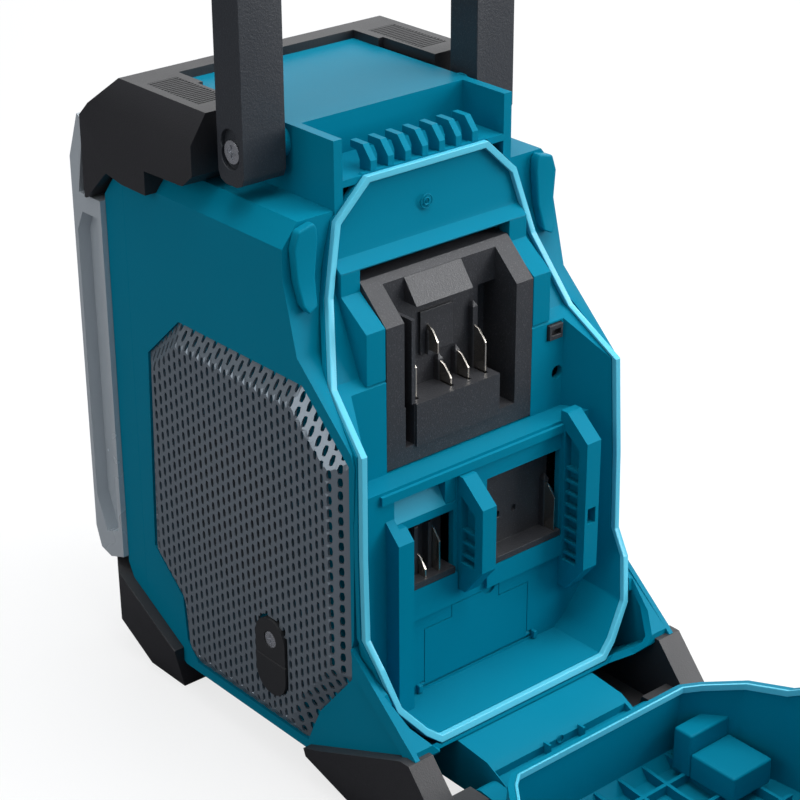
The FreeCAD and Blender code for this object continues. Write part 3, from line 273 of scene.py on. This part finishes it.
# moulded and painted finishes: screen colour, roughness low and high, grain size and depth, and so on
mouldedFinishes = {
    "teal_case": {"color": (0, 116, 143), "rough": (0.30, 0.42), "grain": (1500.0, 0.06), "drift": 0.08, "spec": 0.05,
                  "dust": 0.01},
    # a lighter copy of teal_case for the recess's sloped face: painted light where the lamps fall, not a different
    # surface
    "tealPaintedLight": {"color": (30, 140, 168), "rough": (0.42, 0.50), "grain": (900.0, 0.10), "drift": 0.10,
                     "spec": 0.1, "dust": 0.0},
    "seal": {"color": (84, 186, 212), "rough": (0.24, 0.34), "grain": (1100.0, 0.04), "drift": 0.06, "spec": 0.4,
             "dust": 0.0},
    "black_bumper": {"color": (27, 27, 31), "rough": (0.42, 0.56), "grain": (1300.0, 0.26), "drift": 0.2,
                     "dust": 0.10},
    "pad_rubber": {"color": (26, 27, 30), "rough": (0.46, 0.60), "grain": (1500.0, 0.14), "drift": 0.2, "dust": 0.08},
    "handle_plastic": {"color": (38, 42, 48), "rough": (0.36, 0.50), "grain": (1100.0, 0.34), "drift": 0.15,
                       "specks": 0.05, "dust": 0.06},
    "grip_rubber": {"color": (28, 28, 30), "rough": (0.6, 0.75), "grain": (1000.0, 0.2), "drift": 0.2, "dust": 0.08},
    "terminal_plastic": {"color": (42, 43, 47), "rough": (0.34, 0.50), "grain": (1300.0, 0.34), "drift": 0.15,
                         "specks": 0.07, "dust": 0.03},
    "panel_black": {"color": (32, 34, 38), "rough": (0.35, 0.45), "grain": (1500.0, 0.08), "drift": 0.12,
                    "dust": 0.05},
    "knob_plastic": {"color": (40, 41, 45), "rough": (0.32, 0.44), "grain": (1500.0, 0.08), "drift": 0.12,
                     "dust": 0.05},
    "key_rubber": {"color": (58, 60, 64), "rough": (0.55, 0.68), "grain": (1500.0, 0.10), "drift": 0.12,
                   "dust": 0.05},
    "guardPaint": {"color": (184, 192, 198), "rough": (0.22, 0.30), "grain": (1500.0, 0.05), "drift": 0.08,
                   "spec": 0.8, "metallic": 0.3, "dust": 0.04},
    "cone": {"color": (44, 44, 46), "rough": (0.7, 0.85), "grain": (500.0, 0.35), "drift": 0.3, "dust": 0.05},
    "surround_rubber": {"color": (26, 26, 28), "rough": (0.45, 0.6), "grain": (900.0, 0.10), "drift": 0.2,
                        "dust": 0.05},
    "magnet": {"color": (48, 48, 50), "rough": (0.5, 0.7), "grain": (300.0, 0.2), "drift": 0.3, "dust": 0.05},
    "cell_jacket": {"color": (168, 172, 178), "rough": (0.2, 0.3), "grain": (600.0, 0.03), "drift": 0.1, "dust": 0.0},
    "board": {"color": (24, 92, 58), "rough": (0.3, 0.45), "grain": (700.0, 0.08), "drift": 0.3, "dust": 0.0},
}


def mouldedMaterial(name, wish):
    material, nodes, shader = blank(name)
    tree = material.node_tree
    grain = place(nodes, grainGroup, Scale=wish["grain"][0], Strength=wish["grain"][1])
    tone = place(nodes, toneGroup, Color=linear(*wish["color"]), Drift=wish["drift"],
                 Specks=wish.get("specks", 0.0), Dust=wish["dust"])
    rough = nodes.new("ShaderNodeMapRange")
    rough.inputs["To Min"].default_value = wish["rough"][0]
    rough.inputs["To Max"].default_value = wish["rough"][1]
    link(tree, grain.outputs["Tone"], rough.inputs["Value"])
    link(tree, rough.outputs["Result"], shader.inputs["Roughness"])
    link(tree, tone.outputs["Color"], shader.inputs["Base Color"])
    link(tree, grain.outputs["Normal"], shader.inputs["Normal"])
    shader.inputs["Specular IOR Level"].default_value = wish.get("spec", 0.5)
    shader.inputs["Metallic"].default_value = wish.get("metallic", 0.0)
    return material


# metals: screen colour, scratches, how metallic
metalFinishes = {
    "contact_metal": {"color": (206, 200, 190), "stretch": (1, 1, 6), "strength": 0.02, "rough": (0.14, 0.30)},
    "steel": {"color": (206, 208, 212), "stretch": (6, 6, 6), "strength": 0.05, "rough": (0.18, 0.36)},
    "grille_metal": {"color": (124, 134, 143), "stretch": (5, 5, 5), "strength": 0.06, "rough": (0.30, 0.44),
                     "metallic": 0.65},
}


def metalMaterial(name, wish):
    material, nodes, shader = blank(name)
    tree = material.node_tree
    brush = place(nodes, brushGroup, Stretch=wish["stretch"], Strength=wish["strength"], Low=wish["rough"][0],
                  High=wish["rough"][1])
    tone = place(nodes, toneGroup, Color=linear(*wish["color"]), Drift=0.12, Dust=0.03)
    shader.inputs["Metallic"].default_value = wish.get("metallic", 1.0)
    link(tree, brush.outputs["Normal"], shader.inputs["Normal"])
    link(tree, brush.outputs["Roughness"], shader.inputs["Roughness"])
    link(tree, tone.outputs["Color"], shader.inputs["Base Color"])
    return material


def lensMaterial():
    material, nodes, shader = blank("lens")
    tree = material.node_tree
    grain = place(nodes, grainGroup, Scale=200.0, Strength=0.01)
    rough = nodes.new("ShaderNodeMapRange")
    rough.inputs["To Min"].default_value = 0.03
    rough.inputs["To Max"].default_value = 0.07
    shader.inputs["Base Color"].default_value = (0.86, 0.9, 0.9, 1)
    shader.inputs["Transmission Weight"].default_value = 0.95
    shader.inputs["IOR"].default_value = 1.49
    link(tree, grain.outputs["Tone"], rough.inputs["Value"])
    link(tree, rough.outputs["Result"], shader.inputs["Roughness"])
    return material


finishes = {name: mouldedMaterial(name, wish) for name, wish in mouldedFinishes.items()}
finishes.update({name: metalMaterial(name, wish) for name, wish in metalFinishes.items()})
finishes["lens"] = lensMaterial()
finishes["guard_finish"] = finishes["guardPaint"]
print("finishes made:", len(finishes))


def dress(obj, finish):
    obj.data.materials.clear()
    obj.data.materials.append(finishes[finish])


def adopt(obj, node, finish=None):
    # the piece takes the node's place, its body and its slot
    dress(obj, finish or slotOf[node])
    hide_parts(node)
    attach(obj, bodyOf[node])


def newPiece(name, bm):
    mesh = bpy.data.meshes.new(name)
    bm.to_mesh(mesh)
    bm.free()
    obj = bpy.data.objects.new(name, mesh)
    bpy.context.scene.collection.objects.link(obj)
    return obj


def roundEdges(obj, width, segments=3, angle=34):
    for polygon in obj.data.polygons:
        polygon.use_smooth = True
    bevel = obj.modifiers.new("roundEdges", "BEVEL")
    bevel.width = width / 1000
    bevel.segments = segments
    bevel.limit_method = "ANGLE"
    bevel.angle_limit = math.radians(angle)
    bevel.use_clamp_overlap = True
    bevel.miter_outer = "MITER_ARC"
    flat = obj.modifiers.new("evenNormals", "WEIGHTED_NORMAL")
    flat.weight = 80
    flat.keep_sharp = False
    return obj


def camel(node):
    words = node.split("_")
    return words[0] + "".join(word.capitalize() for word in words[1:])


def block(bm, x0, x1, y0, y1, z0, z1):
    # a box in millimetres from the middle of the case
    middle = at((x0 + x1) / 2, (y0 + y1) / 2, (z0 + z1) / 2)
    for v in bmesh.ops.create_cube(bm, size=1.0)["verts"]:
        v.co = Vector((v.co.x * (x1 - x0), v.co.y * (y1 - y0), v.co.z * (z1 - z0))) / 1000 + middle


def prism(bm, outline, x0, x1):
    # a (y, z) outline drawn out along X
    rings = [[bm.verts.new(at(x, y, z)) for y, z in outline] for x in (x0, x1)]
    count = len(outline)
    bm.faces.new(rings[0])
    bm.faces.new(rings[1][::-1])
    for k in range(count):
        n = (k + 1) % count
        bm.faces.new((rings[0][n], rings[0][k], rings[1][k], rings[1][n]))
    bmesh.ops.recalc_face_normals(bm, faces=bm.faces)


def rod(bm, x, z, radius, y0, y1):
    turn = Matrix.Rotation(math.radians(90), 4, "X")
    place = Matrix.Translation(at(x, (y0 + y1) / 2, z)) @ turn
    bmesh.ops.create_cone(bm, cap_ends=True, segments=32, radius1=radius / 1000, radius2=radius / 1000,
                          depth=(y1 - y0) / 1000, matrix=place)


# pockets and holes cut into the moulded pieces, in millimetres: boxes x, y, z from and to; rods x, z, radius, y, y
ramp = {"x": (19.0, 48.5), "low": (58.0, 127.9), "high": (50.0, 140.5), "cutFrom": 13.4, "back": 47,
        "walls": [(13.2, 19.2), (47.7, 49.3)], "front": 57.6}
hingeSlot = {"x": (-39.0, 40.5), "y": (114.3, 125.0), "z": (25.5, 40.0)}
cuts = {
    "main_terminal_block": {"boxes": [(26.6, 31.4, 35, 50, 155, 174.2)]},
    "battery_compartment": {"boxes": [(ramp["cutFrom"], ramp["x"][1], 49, 70, ramp["low"][1], ramp["high"][1]),
                                      (-56.6, -51.6, 70, 77, 99, 107)],
                            "rods": [(-58.0, 163.1, 3.3, 40, 50)]},
    "rear_housing": {"boxes": [(*hingeSlot["x"], *hingeSlot["y"], *hingeSlot["z"])]},
}


def carve(obj, wish):
    bm = bmesh.new()
    for sizes in wish.get("boxes", []):
        block(bm, *sizes)
    for sizes in wish.get("rods", []):
        rod(bm, *sizes)
    cutter = newPiece("cutter", bm)
    cut = obj.modifiers.new("carve", "BOOLEAN")
    cut.operation = "DIFFERENCE"
    cut.solver = "EXACT"
    cut.use_self = True
    cut.object = cutter
    bpy.context.view_layer.update()
    mesh = bpy.data.meshes.new_from_object(obj.evaluated_get(bpy.context.evaluated_depsgraph_get()))
    obj.modifiers.clear()
    obj.data = mesh
    bpy.data.objects.remove(cutter)


# these are plain boxes, whose flat faces merge cleanly because they have no holes
plainBoxes = ["button_" + str(number) for number in range(1, 7)]


def softened(node, width, segments=3, angle=34):
    # a merged copy of the node with moulded edges in place of knife edges
    bm = bmesh.new()
    bm.from_mesh(frame["nodes"][node].data)
    bmesh.ops.remove_doubles(bm, verts=bm.verts, dist=0.00002)
    if node in plainBoxes:
        bmesh.ops.dissolve_limit(bm, angle_limit=math.radians(0.6), verts=bm.verts, edges=bm.edges,
                                 use_dissolve_boundaries=False)
    obj = newPiece(camel(node) + "Soft", bm)
    if node in cuts:
        carve(obj, cuts[node])
    roundEdges(obj, width, segments, angle)
    adopt(obj, node)
    return obj


# how far each piece's moulded edges are rounded, in millimetres
edgeRounds = {
    "front_housing": 1.0, "rear_housing": 0.9, "battery_compartment": 0.6, "seal_ring": 1.2, "top_bumper": 1.6,
    "bumper_pads": 0.2, "shoulder_pads": 1.0, "handle_frame": 1.8, "handle_grip": 1.2, "handle_pivot_screws": 0.25,
    "handle_bushes": 0.3, "door_shell": 0.6, "door_gasket": 0.4, "hinge_pins": 0.2, "latch_lever": 0.5,
    "latch_pin": 0.2, "main_terminal_block": 0.35, "main_contacts": 0.12, "small_terminal_block": 0.3,
    "small_contacts": 0.12, "wide_terminal_block": 0.3, "wide_contacts": 0.12, "backup_battery_box": 0.4,
    "backup_cover": 0.25, "backup_cells": 0.4, "backup_springs": 0.3, "dc_jack": 0.3, "dc_cap_base": 0.9,
    "dc_cap_flap": 0.9, "dc_cap_screw": 0.15, "charge_port": 0.2, "control_panel": 0.5, "display_module": 0.2,
    "encoder": 0.2, "tuning_knob": 0.5, "socket_cover": 0.8, "main_board": 0.2, "speaker_magnets": 0.6,
}
for side in ("left", "right"):
    edgeRounds["front_foot_" + side] = 1.6
    edgeRounds["rear_foot_" + side] = 1.6
    edgeRounds["guard_" + side] = 1.8
    edgeRounds["speaker_basket_" + side] = 0.4
    edgeRounds["speaker_cone_" + side] = 0.3
    edgeRounds["speaker_surround_" + side] = 0.3
for number in range(1, 7):
    edgeRounds["button_" + str(number)] = 0.5

for node, width in edgeRounds.items():
    softened(node, width)
print("moulded edges rounded:", len(edgeRounds), "pieces")
dress(frame["nodes"]["display_lens"], "lens")

# formed mesh grilles; the outline is millimetres from the middle of the case
grille = {
    "outline": [(-54.4, 193.2), (-79.5, 170), (-83.2, 68.9), (-62, 50), (-59.9, 27.4), (-52, 18.5), (31.1, 18.5),
                (40, 38), (62.6, 65.3), (62.5, 167.5), (32.9, 193.5)],
    "slope": 9.0, "baseX": 74.9, "faceX": 80.9, "thick": 1.2, "punchedEdge": 0.22,
    "firstY": -85, "firstZ": 12, "columns": 38, "height": 190, "middle": (-12, 110),
    "pitchY": 4.1, "pitchZ": 6.0, "slotWide": 2.1, "slotTall": 4.5, "cornerWide": 0.7, "cornerTall": 0.86,
    "bottomBend": 50.0, "sideBend": 38.0, "capY": 12.5, "capZ": (46.5, 64.0), "capRadius": 11.2,
}


def meshCell(bm, y, z):
    # one slot with its share of the sheet: a ring of eight faces
    across, up = grille["pitchY"] / 2, grille["pitchZ"] / 2
    wide, tall = grille["slotWide"] / 2, grille["slotTall"] / 2
    cornerY, cornerZ = wide * grille["cornerWide"], tall * grille["cornerTall"]
    outer = [(-across, -up), (0, -up), (across, -up), (across, 0), (across, up), (0, up), (-across, up),
             (-across, 0)]
    inner = [(-cornerY, -cornerZ), (0, -tall), (cornerY, -cornerZ), (wide, 0),
             (cornerY, cornerZ), (0, tall), (-cornerY, cornerZ), (-wide, 0)]
    outerRing = [bm.verts.new((0, (y + a) / 1000, (z + b) / 1000)) for a, b in outer]
    innerRing = [bm.verts.new((0, (y + a) / 1000, (z + b) / 1000)) for a, b in inner]
    for k in range(8):
        n = (k + 1) % 8
        bm.faces.new((outerRing[k], outerRing[n], innerRing[n], innerRing[k]))


def cutAlong(bm, a, b, keep, part=None):
    # trims the sheet along the line from a to b, keeping the side that the point keep lies on
    normal = Vector((0, -(b[1] - a[1]), b[0] - a[0])).normalized()
    if normal.dot(Vector((0, keep[0] - a[0], keep[1] - a[1]))) > 0:
        normal = -normal
    faces = [f for f in bm.faces if part is None or part(f.calc_center_median() * 1000)]
    geom = set(faces)
    for f in faces:
        geom.update(f.edges)
        geom.update(f.verts)
    bmesh.ops.bisect_plane(bm, geom=list(geom), plane_co=Vector((0, a[0] / 1000, a[1] / 1000)), plane_no=normal,
                           clear_outer=True, dist=0.00001)


def insideDepth(y, z):
    # how far a point lies in from the nearest side of the outline
    points = grille["outline"]
    best = 1e9
    for (ya, za), (yb, zb) in zip(points, points[1:] + points[:1]):
        length = math.hypot(yb - ya, zb - za)
        t = max(0, min(1, ((y - ya) * (yb - ya) + (z - za) * (zb - za)) / length ** 2))
        best = min(best, math.hypot(y - ya - t * (yb - ya), z - za - t * (zb - za)))
    return best


def inCap(y, z):
    # inside the capsule that the inlet's cap fills, with a little room
    low, high = grille["capZ"]
    return math.hypot(y - grille["capY"], z - max(low, min(high, z))) < grille["capRadius"]


def grilleSheet(side, node):
    bm = bmesh.new()
    points = grille["outline"]
    rows = int(grille["height"] / grille["pitchZ"])
    for i in range(grille["columns"]):
        y = grille["firstY"] + grille["pitchY"] * i
        shift = grille["pitchZ"] / 2 if i % 2 else 0
        for k in range(rows):
            meshCell(bm, y, grille["firstZ"] + shift + grille["pitchZ"] * k)
    bmesh.ops.remove_doubles(bm, verts=bm.verts, dist=0.00001)
    # the sheet's concave corners are cut only on their own side of these two heights
    bend, turn = grille["bottomBend"], grille["sideBend"]
    parts = {2: lambda c: c.y < 0 and c.z > bend, 3: lambda c: c.y < 0 and c.z < bend,
             4: lambda c: c.y < 0 and c.z < bend, 6: lambda c: c.y > 0 and c.z < turn,
             7: lambda c: c.y > 0 and c.z > turn}
    for z in (bend, turn):
        geom = list(bm.verts) + list(bm.edges) + list(bm.faces)
        bmesh.ops.bisect_plane(bm, geom=geom, plane_co=Vector((0, 0, z / 1000)), plane_no=Vector((0, 0, 1)))
    for k in range(len(points)):
        cutAlong(bm, points[k], points[(k + 1) % len(points)], grille["middle"], parts.get(k))
    doomed = [f for f in bm.faces if side > 0 and inCap(*(f.calc_center_median().yz * 1000))]
    bmesh.ops.delete(bm, geom=doomed, context="FACES")
    rise = grille["faceX"] - grille["baseX"]
    for v in bm.verts:
        depth = insideDepth(v.co.y * 1000, v.co.z * 1000)
        raised = grille["faceX"] - rise * max(0.0, 1 - depth / grille["slope"])
        v.co.x = side * raised / 1000
        v.co.y += caseMiddleY
    bmesh.ops.recalc_face_normals(bm, faces=bm.faces)
    if sum(f.normal.x for f in bm.faces) * side < 0:
        bmesh.ops.reverse_faces(bm, faces=bm.faces)
    obj = newPiece(camel(node) + "Mesh", bm)
    thick = obj.modifiers.new("thickness", "SOLIDIFY")
    thick.thickness = grille["thick"] / 1000
    thick.offset = -1
    bevel = obj.modifiers.new("punchedEdge", "BEVEL")
    bevel.width = grille["punchedEdge"] / 1000
    bevel.segments = 1
    bevel.limit_method = "ANGLE"
    bevel.angle_limit = math.radians(50)
    adopt(obj, node)
    return obj


grilleSheet(1, "grille_left")
grilleSheet(-1, "grille_right")
print("grilles punched")


def addDetail(name, bm, slot, body, width=0.25, finish=None):
    obj = roundEdges(newPiece(name, bm), width, 2)
    dress(obj, finish or slot)
    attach(obj, body)
    return obj


def contactPost(bm, x, y, low, top, half=1.5, deep=3.2):
    # a square post with a pyramid on its upper end, which stands behind a contact blade
    block(bm, x - half, x + half, y, y + deep, low, top)
    sunk, tipBack, tipHigh = 0.05, 0.45, 2.6
    spots = [(-half, 0), (half, 0), (half, deep), (-half, deep)]
    corners = [bm.verts.new(at(x + a, y + b, top - sunk)) for a, b in spots]
    tip = bm.verts.new(at(x, y + deep * tipBack, top + tipHigh))
    bm.faces.new(corners[::-1])
    for k in range(4):
        bm.faces.new((corners[k], corners[(k + 1) % 4], tip))


def ringMark(bm, x, y, z, radius, wire):
    # a raised ring that an ejector leaves on a wall that faces the rear
    steps, around = 36, 8
    rings = []
    for i in range(steps):
        a = 2 * math.pi * i / steps
        ring = []
        for k in range(around):
            b = 2 * math.pi * k / around
            r = radius + wire * math.cos(b)
            ring.append(bm.verts.new(at(x + r * math.cos(a), y + wire * math.sin(b), z + r * math.sin(a))))
        rings.append(ring)
    for i in range(steps):
        for k in range(around):
            n, m = (i + 1) % steps, (k + 1) % around
            bm.faces.new((rings[i][k], rings[i][m], rings[n][m], rings[n][k]))
    bmesh.ops.recalc_face_normals(bm, faces=bm.faces)


# the main block: posts behind its five blades (x, from z, to z), and the raised plate above them
mainPosts = {"wall": 31.8, "plate": (-6.5, 12.0, 31.8, 33.2, 188, 208),
             "spots": [(21.9, 173, 203), (1.9, 173, 184), (-8.1, 173, 185), (-18.1, 173, 203),
                       (7.9, 188, 198)]}
bm = bmesh.new()
for x, low, top in mainPosts["spots"]:
    contactPost(bm, x, mainPosts["wall"], low, top)
block(bm, *mainPosts["plate"])
addDetail("mainBlockPosts", bm, "terminal_plastic", "case")

# the wide block has one tall post, the small block three low ones
sidePosts = {"wall": 49.8, "tall": (-46.4, 91, 116), "low": (118, 119.2), "lowAtX": (38.9, 23.2, 31.4),
             "half": 1.1, "deep": 3.0}
bm = bmesh.new()
tallX, tallLow, tallTop = sidePosts["tall"]
contactPost(bm, tallX, sidePosts["wall"], tallLow, tallTop)
for x in sidePosts["lowAtX"]:
    contactPost(bm, x, sidePosts["wall"], *sidePosts["low"], sidePosts["half"], sidePosts["deep"])
addDetail("sideBlockPosts", bm, "terminal_plastic", "case")

# the block's front below its tray is plain; teal cheeks stand beside its slope and a ledge runs over it
trayFront = [(-5, 9, 43.9, 45.98, 147, 164), (-5, 9, 43.9, 46.98, 154, 164)]
bm = bmesh.new()
for sizes in trayFront:
    block(bm, *sizes)
addDetail("trayFront", bm, "terminal_plastic", "case", 0.02)
cheeks = {"x": (42.2, 52.5),
          "outline": [(22, 190), (46, 190), (46, 213.5), (30, 225), (30, 234.8), (22, 234.8)],
          "ledge": [(22, 234.7), (30, 234.7), (30, 235.2), (24.2, 240), (22, 240)]}
inner, outer = cheeks["x"]
bm = bmesh.new()
for x0, x1 in ((-outer, -inner), (inner, outer)):
    prism(bm, cheeks["outline"], x0, x1)
prism(bm, cheeks["ledge"], -outer, outer)
addDetail("blockCheeks", bm, "teal_case", "case", 0.5)

# the sloped recess in the compartment's wall; its face gets a lighter copy of the teal, painted light for a lit face
bm = bmesh.new()
prism(bm, [ramp["low"], ramp["high"], (ramp["back"], ramp["high"][1]), (ramp["back"], ramp["low"][1])],
      *ramp["x"])
addDetail("rampFace", bm, "teal_case", "case", 0.2, "tealPaintedLight")
bm = bmesh.new()
for x0, x1 in ramp["walls"]:
    block(bm, x0, x1, ramp["back"], ramp["front"], ramp["low"][1], ramp["high"][1] + 0.4)
addDetail("rampCheeks", bm, "teal_case", "case", 0.2)

# the ribs of the slot behind the hinge ledge, and ejector rings there and on the upper wall
marks = {"ribsAtX": (-9.9, 10.9), "ribHalf": 0.6, "ribZ": (24, 31),
         "rings": [(1.7, 114.5, 28.6, 1.9, 0.35), (0.6, 24.1, 252.9, 3.1, 0.3), (0.6, 24.1, 252.9, 1.5, 0.4)]}
slotBack = hingeSlot["y"][0]
bm = bmesh.new()
for x in marks["ribsAtX"]:
    block(bm, x - marks["ribHalf"], x + marks["ribHalf"], slotBack - 0.5, slotBack + 3.6, *marks["ribZ"])
for ring in marks["rings"]:
    ringMark(bm, *ring)
addDetail("mouldMarks", bm, "teal_case", "case", 0.1)

# the hinge bosses beside the backup cover
bosses = {"beside": 1.6, "half": 1.1, "y": (57.4, 60.2), "z": (39.6, 43.4)}
coverLow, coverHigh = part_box("backup_cover")
bm = bmesh.new()
for x in (coverLow.x * 1000 - bosses["beside"], coverHigh.x * 1000 + bosses["beside"]):
    block(bm, x - bosses["half"], x + bosses["half"], *bosses["y"], *bosses["z"])
addDetail("coverBosses", bm, "teal_case", "case", 0.4)

# the raised housing inside the door, at the edge of the photograph
doorHousing = [(-66, -41, 142, 152.5, 8, 30), (-66, -41, 152.5, 178, 8, 21)]
bm = bmesh.new()
for sizes in doorHousing:
    block(bm, *sizes)
addDetail("doorHousing", bm, "teal_case", "door", 1.2)
print("small mouldings added")


# studio: white to the camera; what the object itself sees is dark in front of its left side and bright at the rear
studio = {"floorColor": (0.86, 0.87, 0.88, 1), "floorSeen": (0.16, 0.16, 0.17, 1), "shadowShare": 0.75,
          "worldDim": 0.10, "worldBright": 0.78, "brightSide": (-0.45, 0.38, 0.81)}


def makeFloor():
    bm = bmesh.new()
    bmesh.ops.create_grid(bm, x_segments=1, y_segments=1, size=4.0)
    obj = newPiece("floor", bm)
    material, nodes, shader = blank("floorPaper")
    tree = material.node_tree
    shader.inputs["Base Color"].default_value = studio["floorColor"]
    shader.inputs["Roughness"].default_value = 0.7
    glow = nodes.new("ShaderNodeEmission")
    path = nodes.new("ShaderNodeLightPath")
    white = nodes.new("ShaderNodeMixShader")
    white.inputs["Fac"].default_value = studio["shadowShare"]
    dark = nodes.new("ShaderNodeBsdfDiffuse")
    dark.inputs["Color"].default_value = studio["floorSeen"]
    mix = nodes.new("ShaderNodeMixShader")
    link(tree, shader.outputs[0], white.inputs[1])
    link(tree, glow.outputs[0], white.inputs[2])
    link(tree, path.outputs["Is Camera Ray"], mix.inputs["Fac"])
    link(tree, dark.outputs[0], mix.inputs[1])
    link(tree, white.outputs[0], mix.inputs[2])
    link(tree, mix.outputs[0], nodes["Material Output"].inputs["Surface"])
    obj.data.materials.append(material)
    obj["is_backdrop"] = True


def makeWorld():
    world = bpy.data.worlds.new("studio")
    bpy.context.scene.world = world
    world.use_nodes = True
    nodes = world.node_tree.nodes
    tree = world.node_tree
    where = nodes.new("ShaderNodeTexCoord")
    towards = nodes.new("ShaderNodeVectorMath")
    towards.operation = "DOT_PRODUCT"
    towards.inputs[1].default_value = studio["brightSide"]
    strength = nodes.new("ShaderNodeMapRange")
    strength.inputs["From Min"].default_value = -0.5
    strength.inputs["To Min"].default_value = studio["worldDim"]
    strength.inputs["To Max"].default_value = studio["worldBright"]
    link(tree, where.outputs["Generated"], towards.inputs[0])
    link(tree, towards.outputs["Value"], strength.inputs["Value"])
    ambient = nodes["Background"]
    ambient.inputs["Color"].default_value = (0.93, 0.96, 1.0, 1)
    link(tree, strength.outputs["Result"], ambient.inputs["Strength"])
    white = nodes.new("ShaderNodeBackground")
    white.inputs["Color"].default_value = (1, 1, 1, 1)
    path = nodes.new("ShaderNodeLightPath")
    mix = nodes.new("ShaderNodeMixShader")
    link(tree, path.outputs["Is Camera Ray"], mix.inputs["Fac"])
    link(tree, ambient.outputs[0], mix.inputs[1])
    link(tree, white.outputs[0], mix.inputs[2])
    link(tree, mix.outputs[0], nodes["World Output"].inputs["Surface"])


# lamps: where they stand, their size and power; all look at one point of the case
lampAim = (0, 20, 160)
lamps = {
    "topSoftbox": {"from": (-120, 150, 1300), "size": 0.9, "power": 13.0},
    "leftSoftbox": {"from": (1200, -120, 560), "size": 0.9, "power": 4.5},
    "rearSoftbox": {"from": (-1000, 800, 650), "size": 0.8, "power": 14.0},
    "backSoftbox": {"from": (-900, -1050, 620), "size": 1.2, "power": 4.0},
}


def makeLamp(name, wish):
    data = bpy.data.lights.new(name, "AREA")
    data.shape = "SQUARE"
    data.size = wish["size"]
    data.energy = wish["power"]
    obj = bpy.data.objects.new(name, data)
    place = at(*wish["from"])
    aim = at(*lampAim) - place
    obj.matrix_world = Matrix.Translation(place) @ aim.to_track_quat("-Z", "Y").to_matrix().to_4x4()
    bpy.context.scene.collection.objects.link(obj)


makeFloor()
makeWorld()
for lampName, wish in lamps.items():
    makeLamp(lampName, wish)
bpy.context.scene.view_settings.view_transform = "Standard"
print("studio lit")

low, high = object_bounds()
